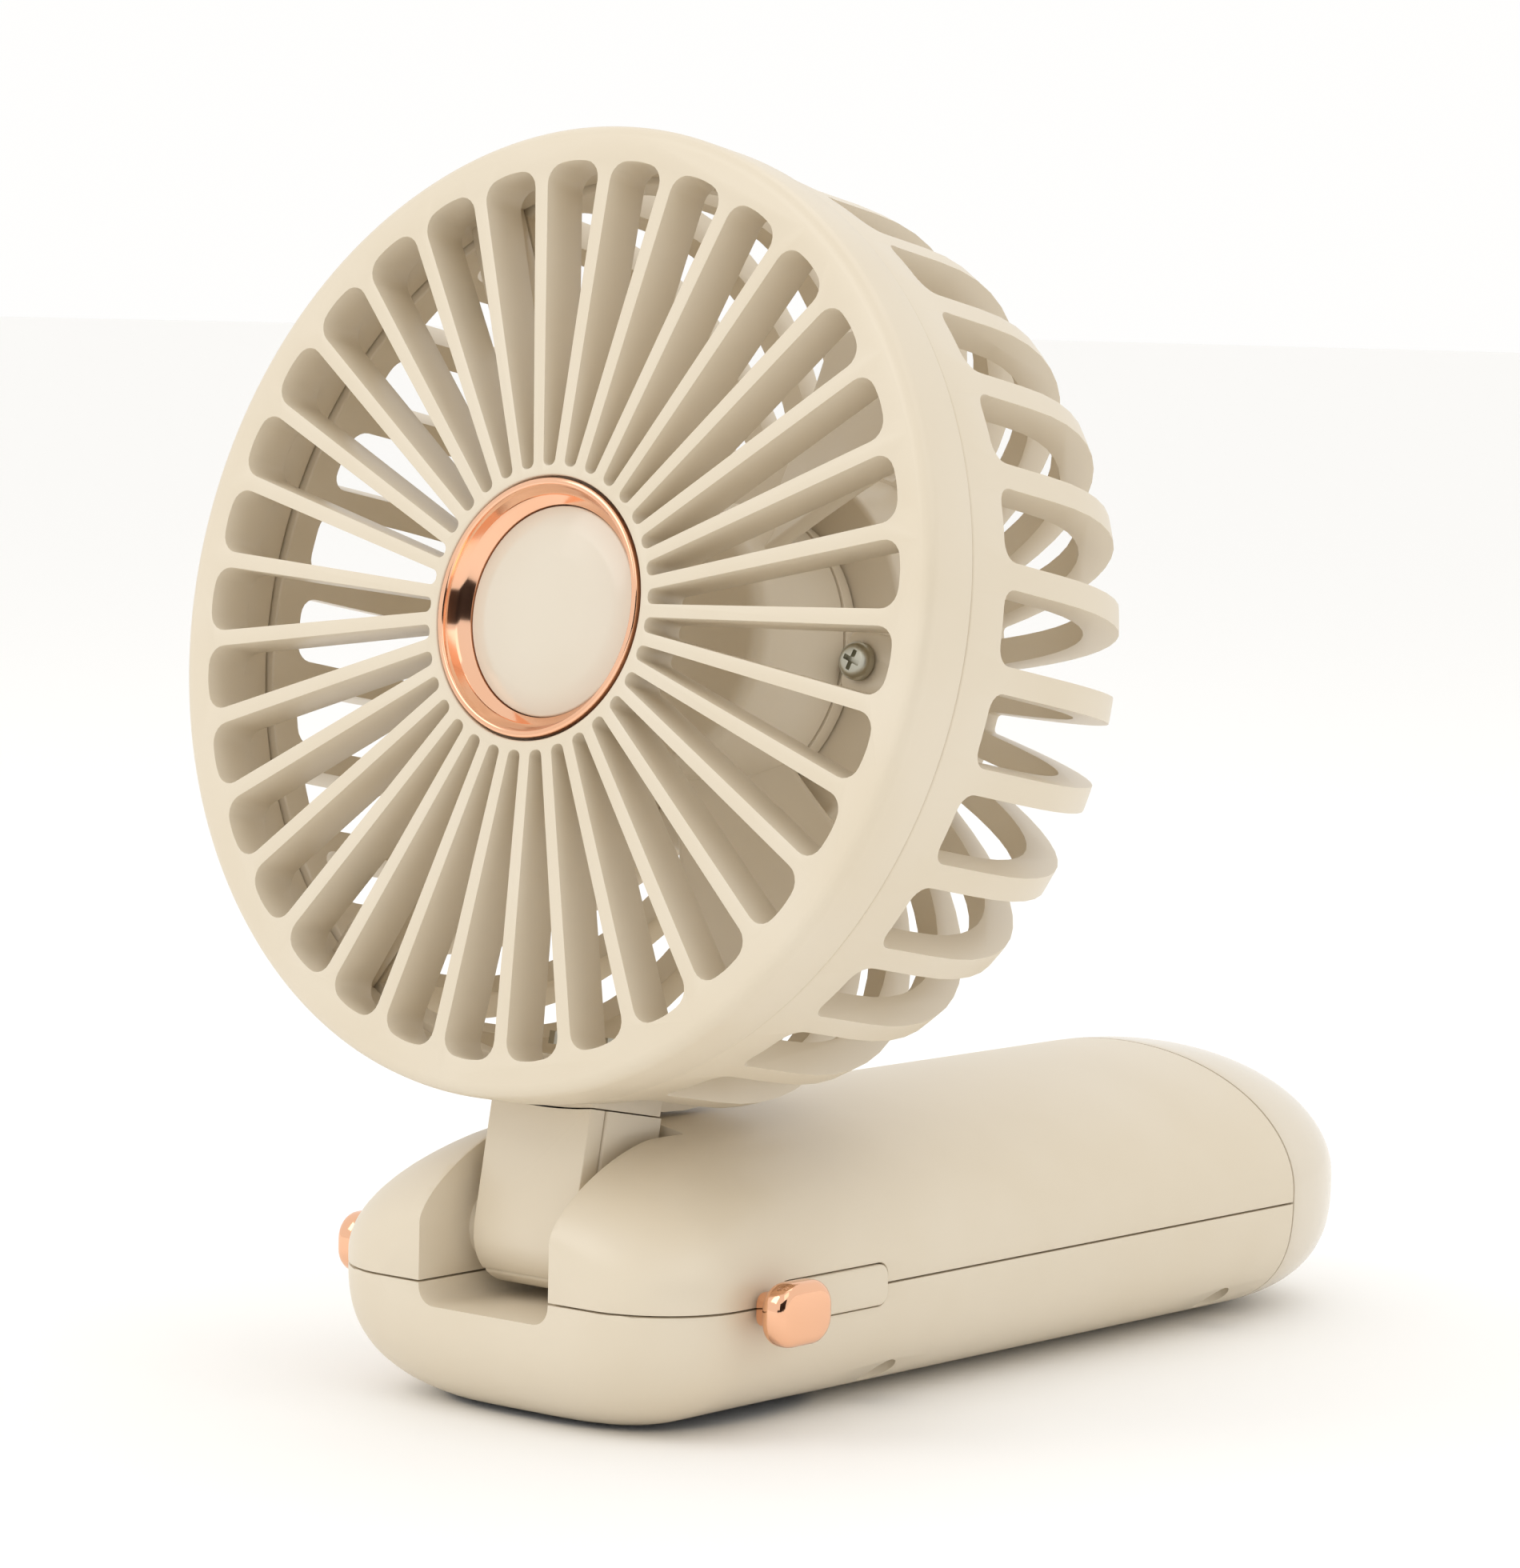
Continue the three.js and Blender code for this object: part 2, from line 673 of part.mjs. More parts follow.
// ---------------------------------------------------------------- head cage
function slotOutline(degrees) {
  const pitch = (Math.PI * 2) / vaneCount;
  const inner = slotInnerRadius;
  const outer = slotOuterRadius;
  const halfInner = (inner * pitch - vaneWidthInner) / 2;
  const halfOuter = (outer * pitch - vaneWidthOuter) / 2;
  const corner = 2;
  const angle = THREE.MathUtils.degToRad(degrees);
  const place = (along, across) =>
    new THREE.Vector2(
      along * Math.cos(angle) - across * Math.sin(angle),
      along * Math.sin(angle) + across * Math.cos(angle),
    );
  const half = (along) => halfInner + ((halfOuter - halfInner) * (along - inner)) / (outer - inner);
  const points = [];
  const roundInner = halfInner;
  for (let i = 0; i <= 2; i += 1) {
    const turn = Math.PI / 2 + (i / 2) * Math.PI;
    points.push(place(inner + roundInner + roundInner * Math.cos(turn), roundInner * Math.sin(turn)));
  }
  for (const side of [-1, 1]) {
    for (let i = 0; i <= 2; i += 1) {
      const turn = (side < 0 ? -Math.PI / 2 : 0) + (i / 2) * (Math.PI / 2);
      const across = side * (half(outer) - corner) + corner * Math.sin(turn);
      points.push(place(outer - corner + corner * Math.cos(turn), across));
    }
  }
  return points;
}

function buildGrille(head) {
  const disc = new THREE.Shape();
  disc.absarc(0, 0, slotOuterRadius + 1, 0, Math.PI * 2);
  for (let i = 0; i < vaneCount; i += 1) {
    const hole = new THREE.Path(slotOutline(slotPhaseDeg + (i * 360) / vaneCount));
    hole.closePath();
    disc.holes.push(hole);
  }
  const seat = new THREE.Path();
  seat.absarc(0, 0, 3, 0, Math.PI * 2, true);
  disc.holes.push(seat);
  const vanes = plateY(disc, 0, vaneDepth, 33);
  const edge = 2.4;
  const ring = [
    [slotOuterRadius, 0],
    [headRadius - edge, 0],
    [headRadius - edge * 0.5, edge * 0.13],
    [headRadius - edge * 0.13, edge * 0.5],
    [headRadius, edge],
    [headRadius, frontRingDepth],
    [headRadius - ringWall, frontRingDepth],
    [headRadius - ringWall, frontRingDepth + 2.4],
    [slotOuterRadius, frontRingDepth + 2.4],
  ];
  const recess = [
    [0, -1],
    [badgeRadius + gap, -1],
    [badgeRadius + gap, 0.9],
    [badgeDiscRadius + 0.4, badgeDish + 1.3],
    [0, badgeDish + 1.3],
  ];
  const face = vanes.add(turned(ring, 66)).subtract(turned(recess, 33));
  const grille = withTabs(face, tabFront, tabFront + tabThick, slotOuterRadius + 0.5);
  addMesh(head, 'front_grille', grille, creamAbs);
}

// The tabs that the three guard screws join: one set inside the grille's ring, one in the guard's.
const tabAngles = [0, 120, 240].map((turn) => slotPhaseDeg + turn);

function withTabs(shape, from, to, reach) {
  let result = shape;
  for (const angle of tabAngles) {
    const tab = block(
      [tabInner, from, -tabHalfWidth],
      [reach, to, tabHalfWidth]).rotate([0, -angle, 0],
    );
    const [x, z] = polar(tabScrewRing, angle);
    result = result.add(tab).subtract(rod('y', from - 1, to + 1, screwShank + gap, x, z, tinySteps));
  }
  return result;
}

function buildGuardScrews(head) {
  tabAngles.forEach((angle, i) => {
    const [x, z] = polar(tabScrewRing, angle);
    const top = tabFront - gap - screwHeadTall;
    const mesh = addMesh(
      head,
      `guard_screw_${i + 1}`,
      panScrew(tabFront + tabThick + bossThick - top),
      zincSteel,
    );
    mesh.rotation.x = -Math.PI / 2;
    mesh.position.set(x, top, z);
  });
}

function buildBadge(head) {
  const ring = [
    [badgeRadius - 0.7, -0.35],
    [badgeRadius - 0.1, -0.35],
    [badgeRadius, 0],
    [badgeRadius, 0.6],
    [badgeDiscRadius + 0.1, badgeDish + 1],
    [badgeDiscRadius + 0.1, badgeDish],
    [badgeDiscRadius + 1.3, badgeDish - 0.7],
    [badgeRadius - 1.1, 0.5],
  ];
  addMesh(head, 'badge_ring', turned(ring, 33), roseGold);
  const r = badgeDiscRadius - gap;
  const disc = [
    [0, badgeDish - 1.1],
    [r * 0.55, badgeDish - 0.95],
    [r * 0.82, badgeDish - 0.65],
    [r * 0.96, badgeDish - 0.2],
    [r, badgeDish + 0.3],
    [r, badgeDish + 1],
    [0, badgeDish + 1],
  ];
  addMesh(head, 'badge_disc', turned(disc, 33), glossCream);
}

// The guard's turn from straight sides to the back, moved inwards by an inset: [radius, depth] pairs.
function guardTurn(inset) {
  const steps = 8;
  const pairs = [];
  for (let i = 0; i <= steps; i += 1) {
    const angle = (i / steps) * Math.PI / 2;
    const out = (guardRadius - guardHubRadius - inset) * Math.pow(Math.cos(angle), 2 / guardPower);
    const back = (guardDepth - guardStraight - inset) * Math.pow(Math.sin(angle), 2 / guardPower);
    pairs.push([guardHubRadius + out, guardStraight + back]);
  }
  return pairs;
}

// One rib of the rear guard in its own plane: radius along X, depth along Y.
function ribOutline() {
  const outline = new THREE.Shape();
  const start = rearRingEnd - 2.2;
  const hubIn = guardHubRadius - 1.5;
  outline.moveTo(guardRadius, start);
  for (const [radius, depth] of guardTurn(0)) outline.lineTo(radius, depth);
  outline.lineTo(hubIn, guardDepth - 0.4);
  outline.lineTo(hubIn, guardDepth - ribDeep);
  for (const [radius, depth] of guardTurn(ribDeep).reverse()) outline.lineTo(radius, depth);
  outline.lineTo(guardRadius - ribDeep, start);
  return outline;
}

function buildGuard(head) {
  const ribGeometry = new THREE.ExtrudeGeometry(ribOutline(), { depth: ribWidth, bevelEnabled: false });
  ribGeometry.translate(0, 0, -ribWidth / 2);
  const rib = solid(ribGeometry);
  const ringOuter = headRadius - 0.3;
  const ringInner = guardRadius - ribDeep - 0.1;
  const ring = [
    [ringInner, frontRingDepth + 2.4 + gap],
    [headRadius - ringWall, frontRingDepth + 2.4 + gap],
    [headRadius - ringWall, frontRingDepth + gap],
    [ringOuter, frontRingDepth + gap],
    [ringOuter - 0.4, rearRingEnd],
    [ringInner, rearRingEnd],
  ];
  const hub = [
    [0, guardDepth - ribDeep],
    [15.5, guardDepth - ribDeep],
    [15.5, guardHubFront],
    [guardHubRadius, guardHubFront],
    [guardHubRadius, guardDepth - 1.2],
    [guardHubRadius * 0.85, guardDepth - 0.3],
    [guardHubRadius * 0.5, guardDepth],
    [0, guardDepth],
  ];
  let guard = turned(ring, 66);
  for (let i = 0; i < ribCount; i += 1) {
    guard = guard.add(rib.rotate([0, -(ribPhaseDeg + (i * 360) / ribCount), 0]));
  }
  guard = guard.add(turned(hub, 33));
  // saddle at the bottom that the neck is screwed to
  const saddleWide = neckHalfWidth - 0.2;
  const saddleFront = headSet - neckHalfThick + 0.2;
  const saddleBack = headSet + neckHalfThick;
  const saddle = block(
    [-saddleWide, saddleFront, -headRadius + 0.15],
    [saddleWide, saddleBack, -guardRadius + ribDeep + 1.2],
  );
  guard = guard.add(saddle);
  for (const x of [-4, 4]) {
    const bore = rod('z', -headRadius - 5, -headRadius + 15, screwShank + gap, x, headSet + 1, tinySteps);
    guard = guard.subtract(bore);
  }
  for (const angle of baseTabAngles) {
    const [x, z] = polar(baseScrewRing, angle);
    const hole = rod('y', guardHubFront - 1, guardHubFront + 7, screwShank + gap, x, z, tinySteps);
    guard = guard.subtract(hole);
  }
  const bossFront = tabFront + tabThick + gap;
  guard = withTabs(guard, bossFront, bossFront + bossThick, guardRadius - ribDeep + 1.2);
  addMesh(head, 'rear_guard', guard, creamAbs);
}

// ---------------------------------------------------------------- motor
const baseTabAngles = [-2.5, 117.5, 237.5];
const tubeRadius = 3.6;

function buildMotorBase(head) {
  const plateBack = guardHubFront - gap;
  let base = rod('y', basePlateFront, plateBack, hubRearRadius + 0.3, 0, 0, 48);
  for (const angle of baseTabAngles) {
    const arm = block(
      [0, basePlateFront, -2.9],
      [baseScrewRing, plateBack, 2.9]).rotate([0, -angle, 0],
    );
    const [x, z] = polar(baseScrewRing, angle);
    const tip = rod('y', basePlateFront, plateBack, baseTabReach - baseScrewRing, x, z, tinySteps);
    base = base.add(arm).add(tip);
  }
  base = base.add(rod('y', hubFront + 5, plateBack, tubeRadius, 0, 0));
  base = base.subtract(rod('y', hubFront, plateBack + 2, 2.6 + gap, 0, 0));
  for (const angle of baseTabAngles) {
    const [x, z] = polar(baseScrewRing, angle);
    base = base.subtract(rod('y', basePlateFront - 2, plateBack + 2, screwShank + gap, x, z, tinySteps));
  }
  addMesh(head, 'motor_base', base, creamAbs);
  baseTabAngles.forEach((angle, i) => {
    const [x, z] = polar(baseScrewRing, angle);
    const mesh = addMesh(head, `base_screw_${i + 1}`, panScrew(7), zincSteel);
    mesh.rotation.x = -Math.PI / 2;
    mesh.position.set(x, basePlateFront - gap - screwHeadTall, z);
  });
}

const canOuter = hubFrontRadius - hubWall - gap;
const magnetOuter = canOuter - canWall - 0.1;
const statorRadius = magnetOuter - magnetThick - airGap;

function buildStator(head) {
  const outline = new THREE.Shape();
  const poles = 9;
  const half = [[6, 14], [8.6, 7], [8.6, 15], [statorRadius, 13]];
  const poleCorners = [...half.map(([radius, turn]) => [radius, -turn]), ...half.reverse()];
  for (let i = 0; i < poles; i += 1) {
    const middle = (i * 360) / poles;
    for (const [radius, offset] of poleCorners) {
      const [x, z] = polar(radius, middle + offset);
      if (i === 0 && offset === -14) outline.moveTo(x, z);
      else outline.lineTo(x, z);
    }
  }
  const bore = new THREE.Path();
  bore.absarc(0, 0, tubeRadius + gap, 0, Math.PI * 2, true);
  outline.holes.push(bore);
  addMesh(head, 'stator_core', plateY(outline, hubFront + 7, hubFront + 11.4, 12), darkSteel);
  const coil = [
    [6.4, hubFront + 6.2],
    [8.2, hubFront + 5],
    [8.2, hubFront + 6.7],
    [6.4, hubFront + 6.7],
  ];
  addMesh(head, 'stator_winding', turned(coil, smallSteps), copper);
}

function ringY(from, to, inner, outer, steps = smallSteps) {
  return turned([[inner, from], [outer, from], [outer, to], [inner, to]], steps);
}

function buildBearings(head) {
  const back = guardHubFront - gap;
  addMesh(
    head,
    'bearing_front',
    ringY(hubFront + 5.2, hubFront + 7.4, shaftRadius + gap, 2.6),
    zincSteel,
  );
  addMesh(head, 'bearing_rear', ringY(back - 2.4, back - 0.2, shaftRadius + gap, 2.6), zincSteel);
  addMesh(
    head,
    'driver_board',
    ringY(hubRear - 0.9, hubRear + 0.2, tubeRadius + gap, canOuter - 3),
    boardGreen,
  );
}

// One blade: a twisted slab that sweeps round the hub and leans in depth.
function bladeSolid() {
  const inner = hubFrontRadius - 0.6;
  const spanSteps = 4;
  const chordSteps = 6;
  const positions = [];
  for (let s = 0; s <= spanSteps; s += 1) {
    const t = s / spanSteps;
    const radius = inner + (bladeRadius - inner) * t;
    for (const side of [0, 1]) {
      for (let c = 0; c <= chordSteps; c += 1) {
        const u = c / chordSteps;
        const sweep = bladeSweepDeg * (0.92 + 0.16 * t);
        const round = 1 - 0.16 * Math.pow(Math.abs(2 * u - 1), 3) * t;
        const angle = THREE.MathUtils.degToRad((u - 0.5) * sweep);
        const front = hubFront + 3 + 3.4 * t;
        const lean = (9.4 - 1.6 * t) * u + 0.9 * Math.sin(u * Math.PI);
        const depth = front + lean + side * bladeThick;
        const r = inner + (radius - inner) * round;
        positions.push(r * Math.cos(angle), depth, r * Math.sin(angle));
      }
    }
  }
  const row = chordSteps + 1;
  const at = (s, side, c) => (s * 2 + side) * row + c;
  const index = [];
  const quad = (a, b, c, d) => index.push(a, b, c, a, c, d);
  for (let s = 0; s < spanSteps; s += 1) {
    for (let c = 0; c < chordSteps; c += 1) {
      quad(at(s, 0, c), at(s, 0, c + 1), at(s + 1, 0, c + 1), at(s + 1, 0, c));
      quad(at(s, 1, c), at(s + 1, 1, c), at(s + 1, 1, c + 1), at(s, 1, c + 1));
    }
    quad(at(s, 0, 0), at(s + 1, 0, 0), at(s + 1, 1, 0), at(s, 1, 0));
    quad(at(s, 0, chordSteps), at(s, 1, chordSteps), at(s + 1, 1, chordSteps), at(s + 1, 0, chordSteps));
  }
  for (let c = 0; c < chordSteps; c += 1) {
    quad(at(0, 0, c), at(0, 1, c), at(0, 1, c + 1), at(0, 0, c + 1));
    quad(at(spanSteps, 0, c), at(spanSteps, 0, c + 1), at(spanSteps, 1, c + 1), at(spanSteps, 1, c));
  }
  const geometry = new THREE.BufferGeometry();
  geometry.setAttribute('position', new THREE.Float32BufferAttribute(positions, 3));
  geometry.setIndex(index);
  return solid(geometry);
}

function buildImpeller(rotor) {
  const cup = [
    [0, hubFront],
    [hubFrontRadius - 2, hubFront],
    [hubFrontRadius - 0.6, hubFront + 0.5],
    [hubFrontRadius, hubFront + 1.8],
    [hubRearRadius, hubRear],
    [hubRearRadius - hubWall, hubRear],
    [hubFrontRadius - hubWall, hubFront + 1.8],
    [shaftRadius + 2, hubFront + 1.8],
    [shaftRadius + 2, hubFront + 4.6],
    [shaftRadius + gap, hubFront + 4.6],
    [shaftRadius + gap, hubFront + 1.4],
    [0, hubFront + 1.4],
  ];
  let wheel = turned(cup, 33);
  const bore = [
    [0, hubFront + 2],
    [hubFrontRadius - hubWall, hubFront + 2],
    [hubRearRadius - hubWall, hubRear + 9],
    [0, hubRear + 9],
  ];
  const clear = turned(bore, 33);
  for (let i = 0; i < bladeCount; i += 1) {
    const blade = bladeSolid().rotate([0, -(bladePhaseDeg + (i * 360) / bladeCount), 0]);
    wheel = wheel.add(blade.subtract(clear));
  }
  addMesh(rotor, 'impeller', wheel, creamAbs);
}

function buildRotor(rotor) {
  const canFront = hubFront + 1.8 + gap;
  const canBack = hubRear - 1.6;
  const can = [
    [shaftRadius + 2 + gap, canFront],
    [canOuter, canFront],
    [canOuter, canBack],
    [canOuter - canWall, canBack],
    [canOuter - canWall, canFront + 1],
    [shaftRadius + 2 + gap, canFront + 1],
  ];
  addMesh(rotor, 'rotor_can', turned(can, 30), darkSteel);
  const magnets = ringY(canFront + 1 + gap, canBack - 0.6, magnetOuter - magnetThick, magnetOuter - 0.2, 30);
  addMesh(rotor, 'magnet_ring', magnets, blackPlastic);
  const shaftBack = guardHubFront + 1.4;
  addMesh(
    rotor,
    'motor_shaft',
    rod('y', hubFront + 1.4 + gap, shaftBack, shaftRadius, 0, 0, tinySteps),
    zincSteel,
  );
}

// ---------------------------------------------------------------- assembly
const fan = new THREE.Group();
const handle = new THREE.Group();
fan.add(handle);
buildShells(handle);
buildCap(handle);
buildPanel(handle);
buildButton(handle);
buildElectronics(handle);
buildCells(handle);
buildLeads(handle);
buildHinge(handle);
buildPosts(handle);
buildShellScrews(handle);

const fold = new THREE.Group();
fold.position.set(0, pivotY, pivotHeight);
fold.rotation.x = -lean;
fan.add(fold);
buildNeck(fold);
buildNeckScrews(fold);

const head = new THREE.Group();
head.position.set(0, -headSet, headReach);
fold.add(head);
buildGrille(head);
buildBadge(head);
buildGuard(head);
buildGuardScrews(head);
buildMotorBase(head);
buildStator(head);
buildBearings(head);

const rotor = new THREE.Group();
head.add(rotor);
buildImpeller(rotor);
buildRotor(rotor);

export default fan;
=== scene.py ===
# %% [markdown]
# # A folding handheld fan
# A round caged head stands on a short neck, and the neck folds in the notched end of a flat oval
# handle that holds the battery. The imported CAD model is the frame: it gives every piece its place
# and its motion, and each cell below models one piece over it with more care.

# %% Load the frame
import math

import bmesh
import bpy
from mathutils import Matrix, Vector
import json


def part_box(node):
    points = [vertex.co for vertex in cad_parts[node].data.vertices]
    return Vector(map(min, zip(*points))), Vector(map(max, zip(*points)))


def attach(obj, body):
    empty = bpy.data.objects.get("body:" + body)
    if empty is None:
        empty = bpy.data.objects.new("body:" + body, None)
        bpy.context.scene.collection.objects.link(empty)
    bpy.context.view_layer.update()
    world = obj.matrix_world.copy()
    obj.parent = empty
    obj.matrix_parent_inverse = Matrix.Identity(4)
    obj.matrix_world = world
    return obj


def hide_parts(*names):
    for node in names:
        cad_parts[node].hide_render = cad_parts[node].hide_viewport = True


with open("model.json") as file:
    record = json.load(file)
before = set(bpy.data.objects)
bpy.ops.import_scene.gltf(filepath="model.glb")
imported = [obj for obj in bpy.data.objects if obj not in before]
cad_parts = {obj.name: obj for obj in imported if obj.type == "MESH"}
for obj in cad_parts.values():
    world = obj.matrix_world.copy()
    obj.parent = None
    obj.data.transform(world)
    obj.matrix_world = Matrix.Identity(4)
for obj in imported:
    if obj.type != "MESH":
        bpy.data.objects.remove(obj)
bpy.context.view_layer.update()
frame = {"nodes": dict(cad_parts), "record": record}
MM = 0.001
print("nodes in the frame:", len(frame["nodes"]))

# %% [markdown]
# ## Working by hand, in code
# Operators act on whatever is selected, so every step starts from one selected object. Most
# moulded parts begin as an outline: one vertex is drawn out through the corners by extruding, and
# then the line is either spun round an axis or filled and pulled out into a slab.

# %% Selecting and drawing
def clear():
    """Leaves nothing selected, in object mode."""
    if bpy.context.object and bpy.context.object.mode != "OBJECT":
        bpy.ops.object.mode_set(mode="OBJECT")
    bpy.ops.object.select_all(action="DESELECT")


def only(obj):
    """Leaves one object selected and active, in object mode."""
    clear()
    obj.select_set(True)
    bpy.context.view_layer.objects.active = obj


def soften(corners, steps=4):
    """Turns (u, v, radius) corners of a closed outline into points, each corner drawn as an arc."""
    points = []
    for i, (u, v, radius) in enumerate(corners):
        here = Vector((u, v))
        back = (Vector(corners[i - 1][:2]) - here).normalized()
        ahead = (Vector(corners[(i + 1) % len(corners)][:2]) - here).normalized()
        half = math.acos(max(-1.0, min(1.0, back.dot(ahead)))) / 2
        if radius <= 0 or half > math.radians(89):
            points.append((u, v))
            continue
        middle = here + (back + ahead).normalized() * radius / math.sin(half)
        reach = radius / math.tan(half)
        start = here + back * reach - middle
        end = here + ahead * reach - middle
        sweep = math.atan2(start.x * end.y - start.y * end.x, start.dot(end))
        for k in range(steps + 1):
            turn = Matrix.Rotation(sweep * k / steps, 2)
            points.append(tuple(middle + turn @ start))
    return points


def draw(name, points):
    """One vertex, extruded from point to point and closed; points are in millimetres."""
    clear()
    bpy.ops.mesh.primitive_plane_add(size=MM, location=(0, 0, 0))
    obj = bpy.context.object
    obj.name = obj.data.name = name
    bpy.ops.object.mode_set(mode="EDIT")
    bpy.ops.mesh.merge(type="CENTER")
    bpy.ops.transform.translate(value=Vector(points[0]) * MM)
    for before, after in zip(points, points[1:]):
        step = (Vector(after) - Vector(before)) * MM
        bpy.ops.mesh.extrude_region_move(TRANSFORM_OT_translate={"value": step})
    sheet = bmesh.from_edit_mesh(obj.data)
    for vertex in sheet.verts:
        vertex.select = len(vertex.link_edges) == 1
    sheet.select_flush_mode()
    bmesh.update_edit_mesh(obj.data)
    bpy.ops.mesh.edge_face_add()
    bpy.ops.mesh.select_all(action="SELECT")
    return obj


def tidy_mesh(obj):
    """Closes seams and poles and turns every face outwards."""
    only(obj)
    bpy.ops.object.mode_set(mode="EDIT")
    bpy.ops.mesh.select_all(action="SELECT")
    bpy.ops.mesh.remove_doubles(threshold=1e-6)
    bpy.ops.mesh.normals_make_consistent(inside=False)
    bpy.ops.object.mode_set(mode="OBJECT")
    return obj


# %% [markdown]
# ## Two ways to give an outline body
# A round part is its half section spun about the local Z axis, as on a lathe. A flat part is its
# outline filled and pulled out along one axis, as from a saw.

# %% Spinning and slabs
def spun(name, corners, steps=96, arc_steps=4):
    """A body of revolution about Z from (radius, height, corner radius) in millimetres."""
    profile = soften(corners, arc_steps)
    obj = draw(name, [(r, 0, z) for r, z in profile])
    bpy.ops.mesh.spin(steps=steps, angle=math.tau, center=(0, 0, 0), axis=(0, 0, 1))
    return tidy_mesh(obj)


AXES = {
    "x": lambda u, v, w: (w, u, v),
    "y": lambda u, v, w: (u, w, v),
    "z": lambda u, v, w: (u, v, w),
}


def slab(name, outline, axis, low, high):
    """A filled outline, pulled out along an axis from low to high, in millimetres."""
    lay = AXES[axis]
    obj = draw(name, [lay(u, v, low) for u, v in outline])
    bpy.ops.mesh.edge_face_add()
    pull = Vector(lay(0, 0, high - low)) * MM
    bpy.ops.mesh.extrude_region_move(TRANSFORM_OT_translate={"value": pull})
    return tidy_mesh(obj)


def oblong(half_u, half_v, radius, u=0.0, v=0.0, steps=5):
    """A rounded rectangle as outline points."""
    return soften(
        [
            (u - half_u, v - half_v, radius),
            (u + half_u, v - half_v, radius),
            (u + half_u, v + half_v, radius),
            (u - half_u, v + half_v, radius),
        ],
        steps,
    )


# %% [markdown]
# ## Cutting, joining and breaking edges
# Boolean modifiers do the drilling and sawing, and a Bevel modifier gives each edge the small
# radius that a mould leaves. It is that radius that catches the light, so nothing is left sharp.

# %% Cuts, bevels and copies
def combine(obj, tool, how="DIFFERENCE"):
    """Applies a boolean with another object, which is used up."""
    only(obj)
    step = obj.modifiers.new("combine", "BOOLEAN")
    step.operation = how
    step.solver = "EXACT"
    step.object = tool
    bpy.ops.object.modifier_apply(modifier=step.name)
    bpy.data.objects.remove(tool)
    return obj


def flatten(obj, degrees=0.4):
    """Dissolves the lines that cuts leave on flat faces, so that a bevel runs clean."""
    only(obj)
    bpy.ops.object.mode_set(mode="EDIT")
    bpy.ops.mesh.select_all(action="SELECT")
    bpy.ops.mesh.dissolve_limited(angle_limit=math.radians(degrees))
    bpy.ops.object.mode_set(mode="OBJECT")
    return obj


def round_edges(obj, width, segments=2, angle=40):
    """Rounds every edge that turns by more than the angle; the width is in millimetres."""
    only(obj)
    step = obj.modifiers.new("edge", "BEVEL")
    step.width = width * MM
    step.segments = segments
    step.limit_method = "ANGLE"
    step.angle_limit = math.radians(angle)
    bpy.ops.object.modifier_apply(modifier=step.name)
    return obj


def join(first, others):
    """Makes one mesh of several objects, under the first one's name."""
    only(first)
    for other in others:
        other.select_set(True)
    bpy.ops.object.join()
    return first


def apply_place(obj, matrix):
    """Puts the piece at a place and writes that place into its mesh."""
    only(obj)
    obj.matrix_world = matrix @ obj.matrix_world
    bpy.ops.object.transform_apply(location=True, rotation=True, scale=True)
    return obj


def twin(obj, name, matrix):
    """A copy with its own mesh, put at its place."""
    copy = obj.copy()
    copy.data = obj.data.copy()
    copy.name = copy.data.name = name
    bpy.context.scene.collection.objects.link(copy)
    return apply_place(copy, matrix)


def ring_of(obj, count, first_degrees):
    """Copies a piece round the local Z axis and joins the copies."""
    turns = [math.radians(first_degrees + 360 * i / count) for i in range(count)]
    copies = [twin(obj, f"{obj.name}_{i}", Matrix.Rotation(a, 4, "Z")) for i, a in enumerate(turns)]
    bpy.data.objects.remove(obj)
    return join(copies[0], copies[1:])


# %% [markdown]
# ## Finishes
# Every material is named for what the piece is made of and how its surface was made. Colours are
# written as sRGB hex values, and one function turns them into the linear light Blender works in.

# %% Material helpers
def linear(hex_colour):
    """An sRGB hex colour as linear red, green, blue and alpha."""
    channels = [int(hex_colour[i : i + 2], 16) / 255 for i in (0, 2, 4)]
    return tuple(c / 12.92 if c <= 0.04045 else ((c + 0.055) / 1.055) ** 2.4 for c in channels) + (1.0,)


def material(name, colour, roughness, metallic=0.0, **more):
    """A Principled material; more holds other socket names with underscores for spaces."""
    finish = bpy.data.materials.new(name)
    finish.use_nodes = True
    shader = finish.node_tree.nodes["Principled BSDF"]
    shader.inputs["Base Color"].default_value = linear(colour)
    shader.inputs["Roughness"].default_value = roughness
    shader.inputs["Metallic"].default_value = metallic
    for socket, value in more.items():
        shader.inputs[socket.replace("_", " ")].default_value = value
    finish.diffuse_color = linear(colour)
    return finish


def node(finish, kind, links, **settings):
    """Adds a node: links are (own output, other node, other input) or (input, other node, output)."""
    tree = finish.node_tree
    made = tree.nodes.new(kind)
    for key, value in settings.items():
        if hasattr(made, key):
            setattr(made, key, value)
        else:
            made.inputs[key.replace("_", " ")].default_value = value
    for own, other, theirs in links:
        if isinstance(own, str) and own in made.outputs and theirs in other.inputs:
            tree.links.new(made.outputs[own], other.inputs[theirs])
        else:
            tree.links.new(other.outputs[theirs], made.inputs[own])
    return made


